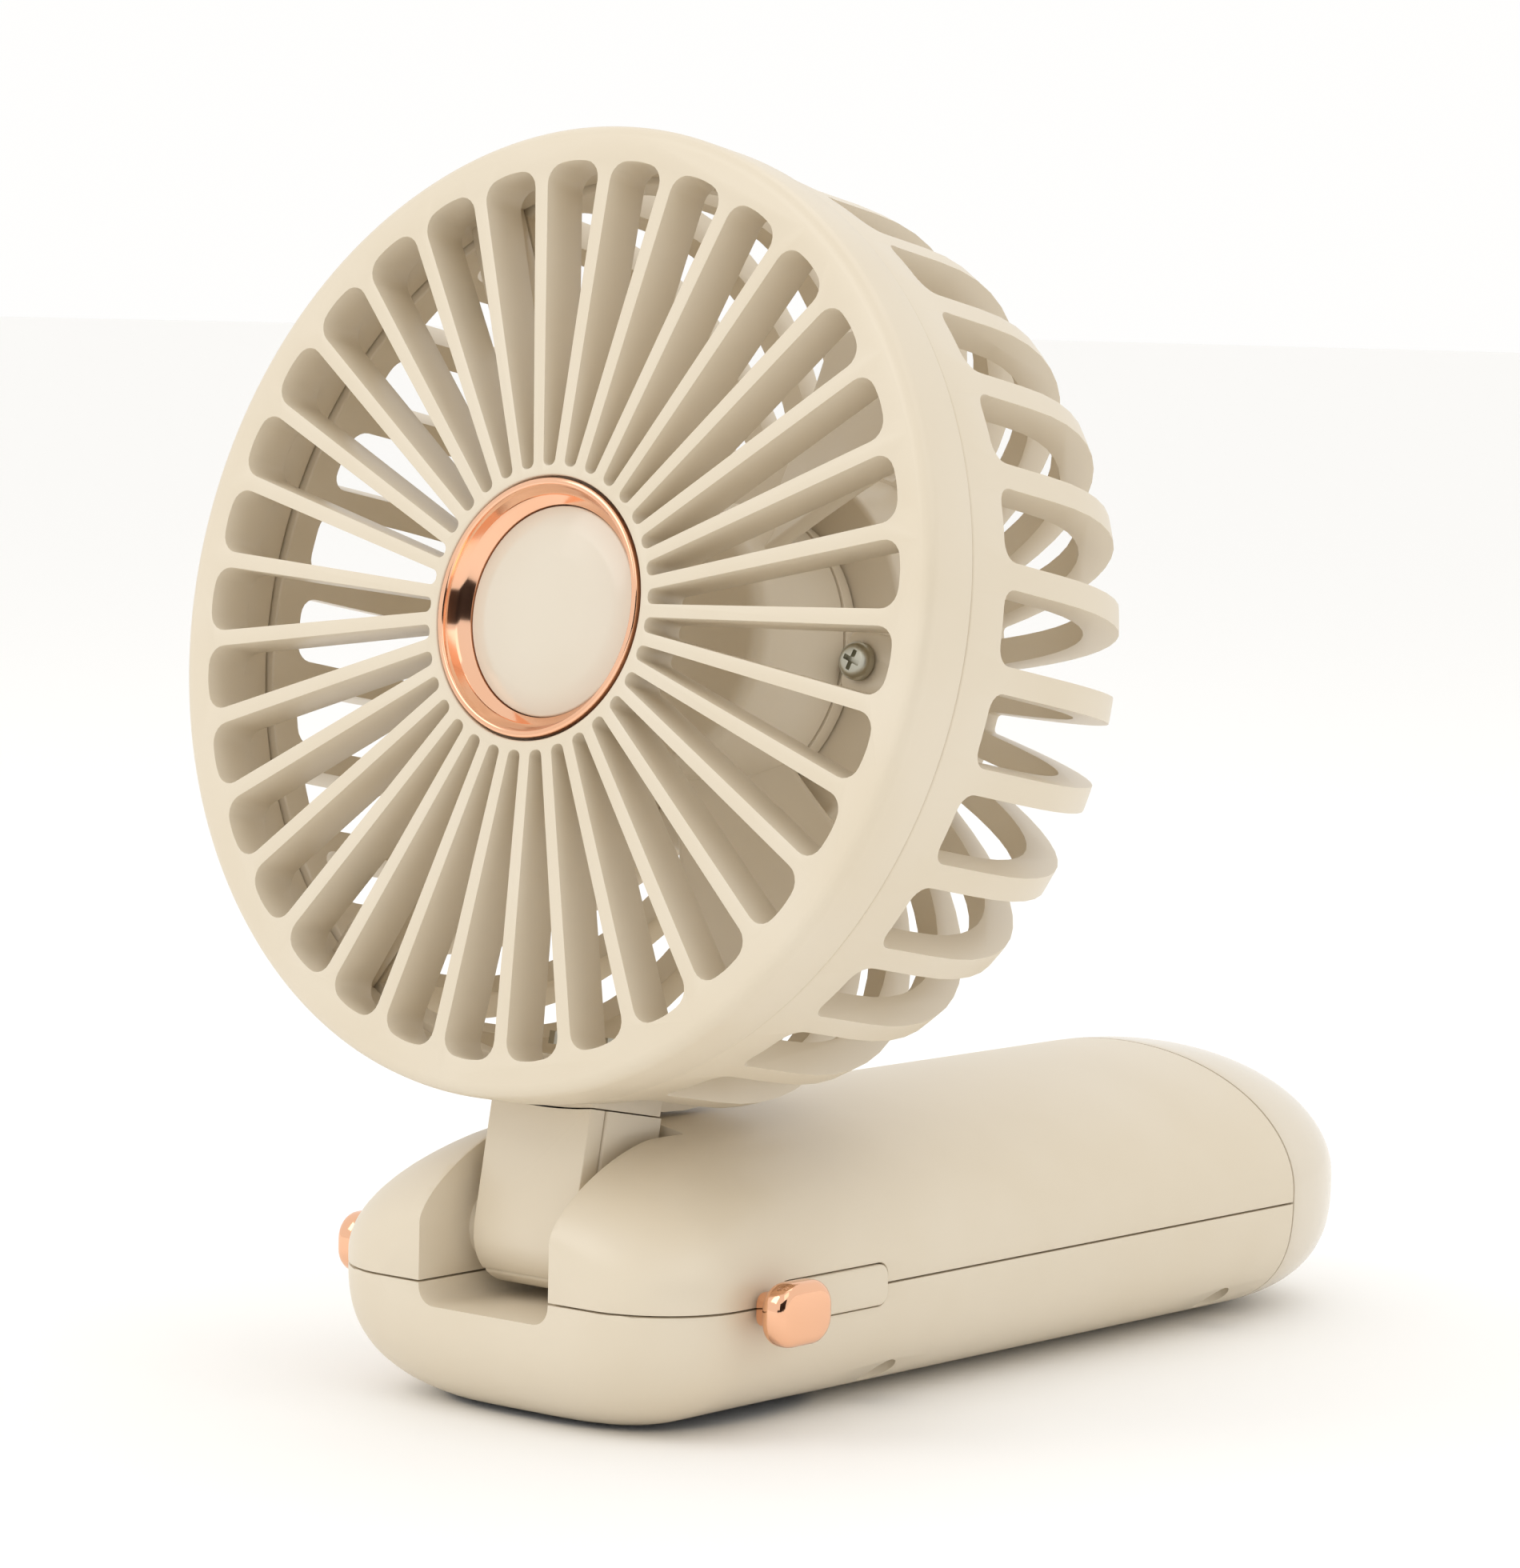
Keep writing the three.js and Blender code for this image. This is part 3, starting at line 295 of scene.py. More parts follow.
def grain(finish, size_mm, height_mm, spread, colours):
    """A fine moulded texture: bump, and a slight drift in roughness and colour, from one noise."""
    shader = finish.node_tree.nodes["Principled BSDF"]
    place = node(finish, "ShaderNodeTexCoord", [])
    fine = node(
        finish, "ShaderNodeTexNoise", [("Vector", place, "Object")], Scale=1 / (size_mm * MM), Detail=3.0
    )
    node(
        finish,
        "ShaderNodeBump",
        [("Height", fine, "Fac"), ("Normal", shader, "Normal")],
        Strength=0.35,
        Distance=height_mm * MM,
    )
    broad = node(
        finish, "ShaderNodeTexNoise", [("Vector", place, "Object")], Scale=1 / (18 * MM), Detail=2.0
    )
    low, high = spread
    node(
        finish,
        "ShaderNodeMapRange",
        [("Value", broad, "Fac"), ("Result", shader, "Roughness")],
        To_Min=low,
        To_Max=high,
    )
    ramp = node(finish, "ShaderNodeValToRGB", [("Fac", broad, "Fac"), ("Color", shader, "Base Color")])
    ramp.color_ramp.elements[0].position = 0.3
    ramp.color_ramp.elements[0].color = linear(colours[0])
    ramp.color_ramp.elements[1].position = 0.7
    ramp.color_ramp.elements[1].color = linear(colours[1])
    return finish


# %% [markdown]
# ## Plastics
# The case is injection-moulded ABS in a warm cream. Most of it comes from a lightly blasted
# mould, which spreads the highlights into a soft satin. The end cap and the badge come from a
# polished mould, so their highlights are crisp.

# %% Plastics
# A blasted mould: the highlight spreads wide and soft.
cream_abs = material("cream_abs_satin_moulded", "D9CCB6", 0.38, IOR=1.53)
grain(cream_abs, 0.5, 0.01, (0.32, 0.4), ("D8CBB4", "DBCFBA"))
# A polished mould: a tighter highlight, still a little uneven.
gloss_abs = material("cream_abs_polished_moulded", "D9CEBC", 0.16, IOR=1.53)
grain(gloss_abs, 6, 0.01, (0.14, 0.2), ("D8CDBA", "DBD1C0"))
# Near black, with a hard clear reflection like glass.
smoked_acrylic = material("smoked_acrylic_polished", "0B0C0D", 0.05, IOR=1.49, Coat_Weight=0.4)
grain(smoked_acrylic, 8, 0.004, (0.04, 0.07), ("0A0B0C", "0D0E10"))
# A dull dark moulding that takes almost no highlight.
black_plastic = material("black_nylon_moulded", "1D1E20", 0.5)
grain(black_plastic, 0.4, 0.01, (0.45, 0.55), ("1B1C1E", "202124"))
# Thin film shrunk over the cells, with a slightly wavy shine.
blue_sleeve = material("pvc_shrink_sleeve_blue", "2F6FB0", 0.32)
grain(blue_sleeve, 3, 0.02, (0.28, 0.38), ("2C69A8", "3375B6"))
# Soft extruded covers; they are closed in, so they stay plain.
red_wire = material("pvc_wire_red", "B3262A", 0.45)
black_wire = material("pvc_wire_black", "17181A", 0.45)
# Lacquer over woven glass, which mottles the green.
green_board = material("glass_fibre_board_solder_mask", "1F5A3C", 0.4)
grain(green_board, 0.6, 0.01, (0.35, 0.45), ("1C5437", "226141"))

# %% [markdown]
# ## Metals
# The trim is plastic plated by vacuum metallising and tinted rose gold, so it mirrors the room.
# The screws are zinc plated steel: grey, and softer in their shine because the zinc is crystalline.

# %% Metals
# A mirror with a warm tint, dulled just enough to soften what it reflects.
rose_gold = material("rose_gold_vacuum_plating", "F3BE9C", 0.09, 1.0)
grain(rose_gold, 9, 0.003, (0.07, 0.12), ("F1BA96", "F5C3A3"))
# Crystalline plating: a grey, patchy shine.
zinc = material("zinc_plated_steel", "B9B6AA", 0.32, 1.0)
grain(zinc, 0.3, 0.008, (0.26, 0.4), ("ADA997", "C4C2B8"))
# Bright plated sheet, smoother than the zinc and warmer than steel.
nickel = material("nickel_plated_sheet", "C9C6BD", 0.26, 1.0)
grain(nickel, 2, 0.004, (0.2, 0.32), ("C4C0B6", "CECBC4"))
# Stacked dark sheets under lacquer, with a weak shine.
lamination = material("electrical_steel_lacquered", "5C5E61", 0.42, 1.0)
grain(lamination, 0.5, 0.01, (0.36, 0.48), ("56585B", "636568"))
# Fine enamelled wire, whose turns break the highlight into grains.
copper = material("enamelled_copper_wire", "B8703F", 0.3, 1.0)
grain(copper, 0.3, 0.05, (0.25, 0.36), ("AE6838", "C27A48"))

FINISHES = {
    "cream_abs": cream_abs,
    "gloss_cream_abs": gloss_abs,
    "rose_gold_plating": rose_gold,
    "smoked_acrylic": smoked_acrylic,
    "zinc_steel": zinc,
    "nickel_shell": nickel,
    "lamination_steel": lamination,
    "copper_wire": copper,
    "black_plastic": black_plastic,
    "green_board": green_board,
    "cell_sleeve": blue_sleeve,
    "red_insulation": red_wire,
    "black_insulation": black_wire,
}

print("finishes:", sorted(FINISHES))

# %% [markdown]
# ## From the frame to the finished piece
# Each CAD piece that stays in the picture, such as the boards and cells inside, wears the finish of
# its own slot. A piece modelled here takes over from its CAD piece, rides on the same body and
# names the same slot.

# %% Handing a piece over
SLOT_OF = {row["node"]: row["material_slot"] for row in frame["record"]["subparts"]}
BODY_OF = {n: body for body, nodes in frame["record"]["behaviour"]["bodies"].items() for n in nodes}
for name, cad_piece in frame["nodes"].items():
    cad_piece.data.materials.clear()
    cad_piece.data.materials.append(FINISHES[SLOT_OF[name]])


def hand_over(obj, name, smooth=35):
    """The finished piece stands for the CAD piece of that name."""
    only(obj)
    obj.name = obj.data.name = name + "_made"
    bpy.ops.object.shade_smooth_by_angle(angle=math.radians(smooth))
    obj.data.materials.clear()
    obj.data.materials.append(FINISHES[SLOT_OF[name]])
    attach(obj, BODY_OF[name])
    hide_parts(name)
    low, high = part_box(name)
    corners = [Vector(c) for c in obj.bound_box]
    over = max(
        max(low[k] - min(c[k] for c in corners), max(c[k] for c in corners) - high[k]) for k in range(3)
    )
    print(f"{name}: {len(obj.data.polygons)} faces, {over / MM:.2f} mm outside its CAD box")


# %% [markdown]
# ## Where the head stands
# The head is easiest to model lying face up, with its own Z pointing out of the grille, and is then
# stood in its place: leaning back 10.7 degrees on the fold's pivot.

# %% The head's place
PIVOT = Vector((0, -60.4, 20.0))
LEAN = math.radians(10.7)
# The grille's centre is this far up the neck from the pivot, and this far in front of it.
HEAD_REACH = 69.0
HEAD_SET = 18.8
lean_turn = Matrix.Rotation(-LEAN, 4, "X")
FOLD = Matrix.Translation(PIVOT * MM) @ lean_turn
face_up = Matrix.Rotation(math.pi / 2, 4, "X")
HEAD = FOLD @ Matrix.Translation(Vector((0, -HEAD_SET, HEAD_REACH)) * MM) @ face_up
print("head centre in millimetres:", [round(v / MM, 2) for v in HEAD.translation])

# %% [markdown]
# ## The front grille
# It is one moulding: a rim, a hub plate and thirty-three thin vanes between them. The vanes are what
# is left when tapered slots with rounded outer corners are cut from a turned disc, so the disc is
# spun first, one slot cutter is drawn and copied round, and one boolean cuts all of them.

# %% Front grille
RIM = 55.0
SLOTS = 33
SLOT_OUT = 50.9
SLOT_IN = 16.1
VANE_OUT = 1.9
VANE_IN = 1.45
VANE_DEEP = 6.0
SLOT_TURN = -3.66
pitch = math.tau / SLOTS

grille = spun(
    "front_grille",
    [
        (0, -4.1, 0),
        (12.4, -4.1, 0),
        (15.0, -1.2, 0),
        (15.0, 0.0, 0.25),
        (RIM, 0.0, 1.6),
        (RIM, -7.5, 0.3),
        (52.9, -7.5, 0),
        (52.9, -9.9, 0.3),
        (51.0, -9.9, 0.3),
        (50.95, -VANE_DEEP, 0),
        (0, -VANE_DEEP, 0),
    ],
    steps=SLOTS * 6,
)
half_in = (SLOT_IN * pitch - VANE_IN) / 2
half_out = (SLOT_OUT * pitch - VANE_OUT) / 2
slot_line = soften(
    [
        (SLOT_IN, -half_in, half_in * 0.95),
        (SLOT_OUT - 0.35, -half_out, 2.2),
        (SLOT_OUT + 0.1, 0, 10),
        (SLOT_OUT - 0.35, half_out, 2.2),
        (SLOT_IN, half_in, half_in * 0.95),
    ],
    5,
)
cutter = ring_of(slab("slot", slot_line, "z", -9, 3), SLOTS, SLOT_TURN)
grille = flatten(combine(grille, cutter))
grille = round_edges(grille, 0.32, 2, 50)
print("grille faces:", len(grille.data.polygons))

# %% [markdown]
# Three tabs reach in from the rim's wall, and a screw through each one holds the grille to the rear
# guard. They are plain lugs with soft corners, laid into the same moulding.

# %% Screw tabs
TAB_RING = 41.0
TAB_IN = 38.6
TAB_HALF = 3.3
SCREW_HOLE = 1.3


def lugs(name, low, high, reach):
    """Three bored lugs from the screws' ring out to a radius, between two heights."""
    corners = [(TAB_IN, -TAB_HALF, 1.2), (reach, -TAB_HALF, 0), (reach, TAB_HALF, 0), (TAB_IN, TAB_HALF, 1.2)]
    lug = slab(name, soften(corners, 4), "z", low, high)
    hole = slab("hole", oblong(SCREW_HOLE, SCREW_HOLE, SCREW_HOLE, TAB_RING), "z", low - 1, high + 1)
    lug = round_edges(combine(lug, hole), 0.3, 2)
    return ring_of(lug, 3, SLOT_TURN)


grille = join(grille, [lugs("grille_lugs", -9.9, -7.6, 51.6)])
hand_over(apply_place(grille, HEAD), "front_grille")

# %% [markdown]
# ## The badge
# A thin plated ring with a bright lip dishes in to a domed disc. Both are turned shapes; the ring's
# section has a narrow rounded lip and a long shallow slope, which is what draws the light round it.

# %% Badge ring and disc
badge_ring = spun(
    "badge_ring",
    [
        (14.0, 0.35, 0.28),
        (14.7, 0.3, 0.28),
        (14.7, -0.6, 0.1),
        (12.08, -3.5, 0),
        (12.08, -2.5, 0.12),
        (13.2, -1.5, 1.6),
        (13.75, -0.35, 0.3),
    ],
    steps=128,
)
hand_over(apply_place(badge_ring, HEAD), "badge_ring")
badge_disc = spun(
    "badge_disc",
    [(0, -3.5, 0), (11.98, -3.5, 0), (11.98, -2.6, 0.3), (9.6, -1.95, 6), (6.0, -1.55, 12), (0, -1.4, 0)],
    steps=128,
)
hand_over(apply_place(badge_disc, HEAD), "badge_disc")

# %% [markdown]
# ## The rear guard
# The guard is one moulding too. A deep bowl is turned first: a ring at the front, straight sides, a
# full round turn to the back and a solid centre. Thirty tapered windows are then cut between
# the ribs. Each window is cut twice: a short cutter with rounded corners shapes its end at the ring,
# and a long one clears the rest, down to the centre.

# %% Rear guard bowl
RIB_WIDE = 3.0
RIBS = 30
RIB_TURN = 9.3
RIB_DEEP = 3.9
GUARD = 54.1
GUARD_BACK = 55.0
GUARD_HOLLOW = 15.5
GUARD_FLOOR = -36.0
TURN_START = 24.5
TURN_POWER = 2.2
HUB_RADIUS = 24.0


def bowl_turn(inset, steps=14):
    """The bowl's turn from its straight side to its back, moved inwards by an inset."""
    points = []
    for k in range(steps + 1):
        angle = math.pi / 2 * k / steps
        out = (GUARD - HUB_RADIUS - inset) * max(math.cos(angle), 0) ** (2 / TURN_POWER)
        back = (GUARD_BACK - TURN_START - inset) * math.sin(angle) ** (2 / TURN_POWER)
        points.append((HUB_RADIUS + out, -TURN_START - back, 0))
    return points


bowl = [(50.2, -10.2, 0.3), (52.85, -10.2, 0), (52.85, -7.8, 0.2), (54.7, -7.8, 0.35), (GUARD, -17.0, 0)]
bowl += bowl_turn(0) + [(0, -GUARD_BACK, 0)]
bowl += [(0, RIB_DEEP - GUARD_BACK, 0), (GUARD_HOLLOW, RIB_DEEP - GUARD_BACK, 0)]
bowl += [(GUARD_HOLLOW, GUARD_FLOOR, 0.4), (HUB_RADIUS, GUARD_FLOOR, 0.8)] + bowl_turn(RIB_DEEP)[::-1]
guard = spun("rear_guard", bowl, steps=180)

# %% Rear guard windows
half_pitch = math.pi / RIBS
WINDOW_TURN = RIB_TURN + 180 / RIBS


def rib_face(radius):
    """A place on the face of the rib beside a window whose middle lies along X."""
    across = radius * math.sin(half_pitch) - RIB_WIDE / 2 * math.cos(half_pitch)
    return radius * math.cos(half_pitch) + RIB_WIDE / 2 * math.sin(half_pitch), across


def window_cutter(inner, outer, front, back, round_inner):
    """A block that fills the space between two ribs, from one radius to another."""
    (x0, y0), (x1, y1) = rib_face(inner), rib_face(outer)
    line = soften([(x0, -y0, round_inner), (x1, -y1, 0), (x1, y1, 0), (x0, y0, round_inner)], 5)
    return slab("window", line, "z", back, front)


ring_end = round_edges(window_cutter(45.5, 60, -14.2, -30, 0), 2.1, 5, 40)
combine(guard, ring_of(ring_end, RIBS, WINDOW_TURN))
rest = window_cutter(HUB_RADIUS + 0.4, 62, -17.5, -60, 0.6)
combine(guard, ring_of(rest, RIBS, WINDOW_TURN))
guard = round_edges(flatten(guard, 0.3), 1.0, 4, 50)
print("guard faces:", len(guard.data.polygons))

# %% Rear guard saddle and lugs
saddle = slab("saddle", oblong(7.3, 3.2, 0.6, 0, -52.2), "z", -25.1, -12.7)
round_edges(saddle, 0.4, 2, 60)
combine(saddle, slab("rim_round", oblong(54.8, 54.8, 54.7, 0, 0, 60), "z", -60, 0), "INTERSECT")
guard = join(guard, [saddle, lugs("guard_lugs", -13.5, -10.2, 50.6)])
hand_over(apply_place(guard, HEAD), "rear_guard")

# %% [markdown]
# ## The impeller
# A cup that hides the motor carries three broad blades. A blade starts as a flat grid: each row is
# laid on a circle about the axis, and its depth falls from the leading edge to the trailing one,
# which is the pitch that moves the air. Solidify gives it its wall.

# %% Impeller cup
HUB_FRONT = -20.0
HUB_REAR = -33.6
cup = spun(
    "impeller",
    [
        (0, HUB_FRONT, 0),
        (16.0, HUB_FRONT, 2.2),
        (17.4, HUB_REAR, 0.3),
        (15.8, HUB_REAR, 0.3),
        (14.4, HUB_FRONT - 1.8, 0.6),
        (3.0, HUB_FRONT - 1.8, 0.3),
        (3.0, HUB_FRONT - 4.6, 0),
        (1.3, HUB_FRONT - 4.6, 0),
        (1.3, HUB_FRONT - 1.4, 0),
        (0, HUB_FRONT - 1.4, 0),
    ],
    steps=128,
    arc_steps=6,
)

# %% Impeller blades
BLADE_ROOT = 15.4
BLADE_TIP = 42.0
BLADE_SWEEP = 36.0
BLADE_WALL = 1.6
BLADE_FRONT = 23.0
clear()
bpy.ops.mesh.primitive_grid_add(x_subdivisions=18, y_subdivisions=22, size=1)
blade = bpy.context.object
for point in blade.data.vertices:
    # t runs from the root to the tip, and u from the leading edge to the trailing one.
    t = point.co.x + 0.5
    u = point.co.y + 0.5
    sweep = BLADE_SWEEP * (0.92 + 0.16 * t)
    rounded = 1 - 0.16 * abs(2 * u - 1) ** 3 * t
    radius = BLADE_ROOT + (BLADE_TIP - BLADE_ROOT) * t * rounded
    turn = math.radians((u - 0.5) * sweep)
    pitch_drop = (9.4 - 1.6 * t) * u + 0.9 * math.sin(u * math.pi)
    depth = BLADE_FRONT + 3.4 * t + pitch_drop + BLADE_WALL / 2
    point.co = Vector((radius * math.cos(turn), radius * math.sin(turn), -depth)) * MM
only(blade)
wall = blade.modifiers.new("wall", "SOLIDIFY")
wall.thickness = BLADE_WALL * MM
wall.offset = 0
bpy.ops.object.modifier_apply(modifier=wall.name)
blade = round_edges(blade, 0.5, 3, 50)
blades = ring_of(blade, 3, 178)
impeller = join(cup, [blades])
hand_over(apply_place(impeller, HEAD), "impeller", 40)

# %% [markdown]
# ## The motor's base
# Behind the cup a round plate carries the bearing tube and is screwed to the guard by three ears.
# Only its rim shows through the blades.

# %% Motor base
EAR_RING = 19.9
EAR_TURN = -2.5
base = spun(
    "motor_base",
    [
        (2.9, -25, 0.2),
        (3.6, -25, 0.2),
        (3.6, -33.8, 0.2),
        (17.5, -33.8, 0.1),
        (17.5, -35.7, 0.2),
        (2.9, -35.7, 0),
    ],
    steps=96,
)
ear_line = soften([(12, -2.9, 0), (22.8, -2.9, 2.8), (22.8, 2.9, 2.8), (12, 2.9, 0)], 6)
ear = slab("ear", ear_line, "z", -35.7, -34.2)
combine(ear, slab("hole", oblong(SCREW_HOLE, SCREW_HOLE, SCREW_HOLE, EAR_RING), "z", -40, -30))
base = join(base, [ring_of(round_edges(ear, 0.25, 2), 3, EAR_TURN)])
hand_over(apply_place(base, HEAD), "motor_base")

# %% [markdown]
# ## The neck
# Two mouldings meet on a straight seam: a thin cover at the front and the body behind it. From the
# side the neck is a straight post with a round foot about the pivot, so both are drawn from the side
# and pulled out to the neck's width. Their tops are scooped to sit close under the round rim.

# %% Neck
NECK_HALF = 7.5
NECK_THICK = 6.3
NECK_TOP = 15.5
SPLIT = -3.7
SPLIT_GAP = 0.3


def foot(start, end, steps=10):
    """The round foot between two places across the neck, front to back."""
    points = []
    for k in range(steps + 1):
        y = start + (end - start) * k / steps
        points.append((y, -math.sqrt(max(NECK_THICK**2 - y * y, 0))))
    return points


def rim_room():
    """The round room that the head's rim takes from the top of the neck."""
    return slab("rim_room", oblong(55.0, 55.0, 54.9, 0, HEAD_REACH, 60), "y", -20, 20)


cover_line = [(-NECK_THICK, NECK_TOP)] + foot(-NECK_THICK, SPLIT) + [(SPLIT, NECK_TOP)]
cover = round_edges(slab("neck_front_cover", cover_line, "x", -NECK_HALF, NECK_HALF), 0.5, 3, 50)
combine(cover, rim_room())
hand_over(apply_place(cover, FOLD), "neck_front_cover")
body_front = SPLIT + SPLIT_GAP
body_line = [(body_front, NECK_TOP)] + foot(body_front, NECK_THICK, 24) + [(NECK_THICK, NECK_TOP)]
neck = round_edges(slab("neck_body", body_line, "x", -NECK_HALF, NECK_HALF), 0.35, 3, 50)
combine(neck, rim_room())
hand_over(apply_place(neck, FOLD), "neck_body")

# %% [markdown]
# ## The handle's form
# The handle is lofted. A circle is laid on the section's curve, which is an ellipse above and a
# squarer curve below, and is then extruded along the length, ring by ring, each ring laid on the
# section at its own place. The angle of every vertex is kept in an attribute, which extruding copies.

# %% Handle form
LONG = 146.2
FRONT = -LONG / 2
REAR = LONG / 2
HALF_WIDE = 27.7
MIDDLE = 16.2
RISE = 16.4
DROP = 16.8
WALL = 2.0
RING_POINTS = 112
# Each end is rounded over these lengths.
REAR_ROUND = 27
WIDE_ROUND = 12
RISE_ROUND = 17
DROP_ROUND = 12.5


def fullness(distance, length, power, blunt=0.0):
    """How full the section is near an end; blunt is how full it still is at the end itself."""
    if distance >= length:
        return 1.0
    left = 1 - max(distance, 0) / length
    return blunt + (1 - blunt) * (1 - left**power) ** (1 / power)


def section_point(turn, along, inset):
    """The skin's point at an angle round the section and a distance from the front end."""
    rear = fullness(LONG - 2 * inset - along, REAR_ROUND - inset, 2.1)
    wide = min(fullness(along, WIDE_ROUND - inset, 2, 0.57), rear)
    rise = min(fullness(along, RISE_ROUND - inset, 1.4, 0.42), rear)
    drop = min(fullness(along, DROP_ROUND - inset, 2, 0.38), rear)
    cos, sin = math.cos(turn), math.sin(turn)
    power = 1.0 if sin >= 0 else 2 / 3
    tall = (RISE - inset) * rise if sin >= 0 else (DROP - inset) * drop
    x = (HALF_WIDE - inset) * wide * math.copysign(abs(cos) ** power, cos)
    z = MIDDLE + tall * math.copysign(abs(sin) ** power, sin)
    return Vector((x, FRONT + inset + along, z)) * MM


def stations(inset, front_count=16, middle_count=12, rear_count=18):
    """Where the rings lie along the length, closer together towards the two ends."""
    length = LONG - 2 * inset
    nose = [1 - math.cos(k / front_count * math.pi / 2) for k in range(front_count + 1)]
    tail = [1 - math.cos(k / rear_count * math.pi / 2) for k in range(rear_count, 0, -1)]
    front = [(RISE_ROUND - inset) * step for step in nose]
    rear = [length - (REAR_ROUND - inset) * step for step in tail]
    gap = rear[0] - front[-1]
    middle = [front[-1] + gap * k / middle_count for k in range(1, middle_count)]
    return front + middle + rear


def close_end(obj, point):
    """Draws the open ring into a pole."""
    bpy.ops.mesh.extrude_region_move()
    bpy.ops.mesh.merge(type="CENTER")
    mesh = bmesh.from_edit_mesh(obj.data)
    for vertex in mesh.verts:
        if vertex.select:
            vertex.co = point
    bmesh.update_edit_mesh(obj.data)


def handle_form(name, inset=0.0):
    """The whole handle as one solid, or a copy that is smaller all round by an inset."""
    clear()
    bpy.ops.mesh.primitive_circle_add(vertices=RING_POINTS, radius=0.02)
    obj = bpy.context.object
    obj.name = name
    bpy.ops.object.mode_set(mode="EDIT")
    mesh = bmesh.from_edit_mesh(obj.data)
    turn_layer = mesh.verts.layers.float.new("turn")
    for vertex in mesh.verts:
        vertex[turn_layer] = math.atan2(vertex.co.y, vertex.co.x)
    places = stations(inset)
    for i, along in enumerate(places):
        if i:
            bpy.ops.mesh.extrude_region_move()
        mesh = bmesh.from_edit_mesh(obj.data)
        turn_layer = mesh.verts.layers.float["turn"]
        for vertex in mesh.verts:
            if vertex.select:
                vertex.co = section_point(vertex[turn_layer], along, inset)
        bmesh.update_edit_mesh(obj.data)
    close_end(obj, Vector((0, REAR - inset, MIDDLE)) * MM)
    bpy.ops.mesh.select_all(action="DESELECT")
    mesh = bmesh.from_edit_mesh(obj.data)
    for edge in mesh.edges:
        edge.select = edge.is_boundary
    mesh.select_flush(True)
    bmesh.update_edit_mesh(obj.data)
    bpy.ops.mesh.edge_face_add()
    tidy_mesh(obj)
    slice_off(obj, (0, 0, inset), (0, 0, -1))
    return obj


def slice_off(obj, place, away):
    """Cuts the piece by a plane, drops the side that the normal points to and fills the cut."""
    only(obj)
    bpy.ops.object.mode_set(mode="EDIT")
    bpy.ops.mesh.select_all(action="SELECT")
    bpy.ops.mesh.bisect(plane_co=Vector(place) * MM, plane_no=away, use_fill=True, clear_outer=True)
    bpy.ops.object.mode_set(mode="OBJECT")
    return obj


# %% [markdown]
# ## Shells from the form
# The hollow case is the form less a smaller copy of itself. The notch that the neck swings in is cut
# from it with a walled margin, and the case is then sliced at the seam into an upper and a lower
# shell with a hairline gap between them, as two mouldings have.

# %% Handle shells
SEAM = 14.8
SEAM_HALF_GAP = 0.13
CAP_SEAM = REAR - 26.4
NOTCH_HALF = 9.8
NOTCH_FLOOR = 12.2
BOSS_FACE = NECK_HALF + 0.6
NOTCH_BACK = PIVOT.y + NECK_THICK * math.cos(LEAN) + (RISE - 3) * math.sin(LEAN) + 1.2


def notch(grow):
    """The room that the neck swings in, or a larger copy of it."""
    half = NOTCH_HALF + grow
    low = NOTCH_FLOOR - grow
    line = soften([(-half, low, 2.2), (half, low, 2.2), (half, 60, 0), (-half, 60, 0)], 6)
    return slab("notch", line, "y", FRONT - 5, NOTCH_BACK + grow)


case = handle_form("case")
hollow = combine(handle_form("hollow", WALL), notch(WALL))
combine(case, hollow)
combine(case, notch(0))
INSERT_FRONT = 18.7
INSERT_BACK = 37.8
INSERT_Y = FRONT + (INSERT_FRONT + INSERT_BACK) / 2
INSERT_HALF = (INSERT_BACK - INSERT_FRONT) / 2
INSERT_TALL = 2.35
INSERT_ROOM = 0.2
window_line = oblong(INSERT_HALF + INSERT_ROOM, INSERT_TALL + INSERT_ROOM, 1.5, INSERT_Y, SEAM)
for side in (-1, 1):
    combine(case, slab("window", window_line, "x", side * 22, side * 34))
slice_off(case, (0, CAP_SEAM - 0.3, 0), (0, 1, 0))
lower = twin(case, "lower", Matrix.Identity(4))
upper = slice_off(case, (0, 0, SEAM + SEAM_HALF_GAP), (0, 0, -1))
boss_line = oblong(4.4, 4.4, 4.39, PIVOT.y, PIVOT.z, 12)
for side in (-1, 1):
    combine(upper, slab("hinge_boss", boss_line, "x", side * BOSS_FACE, side * 12.9), "UNION")
combine(upper, slab("pin_bore", oblong(2.3, 2.3, 2.29, PIVOT.y, PIVOT.z, 8), "x", -14, 14))
lower = slice_off(lower, (0, 0, SEAM - SEAM_HALF_GAP), (0, 0, 1))

# %% [markdown]
# The underside has a window for the smoked panel and four counterbored screw holes.

# %% Lower shell details
PANEL_Y = FRONT + 25
PANEL_HALF_LONG = 18.0
PANEL_HALF_WIDE = 19.0
PANEL_POWER = 0.72
SCREW_X = 22.2
SCREW_ROWS = (FRONT + 43, CAP_SEAM - 10)
SCREWS = [(x, y) for y in SCREW_ROWS for x in (-SCREW_X, SCREW_X)]
SCREW_SEAT = 7.0
SCREW_HEAD = 1.5


def panel_line(grow, steps=64):
    """The panel's squarish oval outline, larger all round by grow."""
    points = []
    for k in range(steps):
        angle = math.tau * k / steps
        cos, sin = math.cos(angle), math.sin(angle)
        x = (PANEL_HALF_WIDE + grow) * math.copysign(abs(cos) ** PANEL_POWER, cos)
        y = PANEL_Y + (PANEL_HALF_LONG + grow) * math.copysign(abs(sin) ** PANEL_POWER, sin)
        points.append((x, y))
    return points


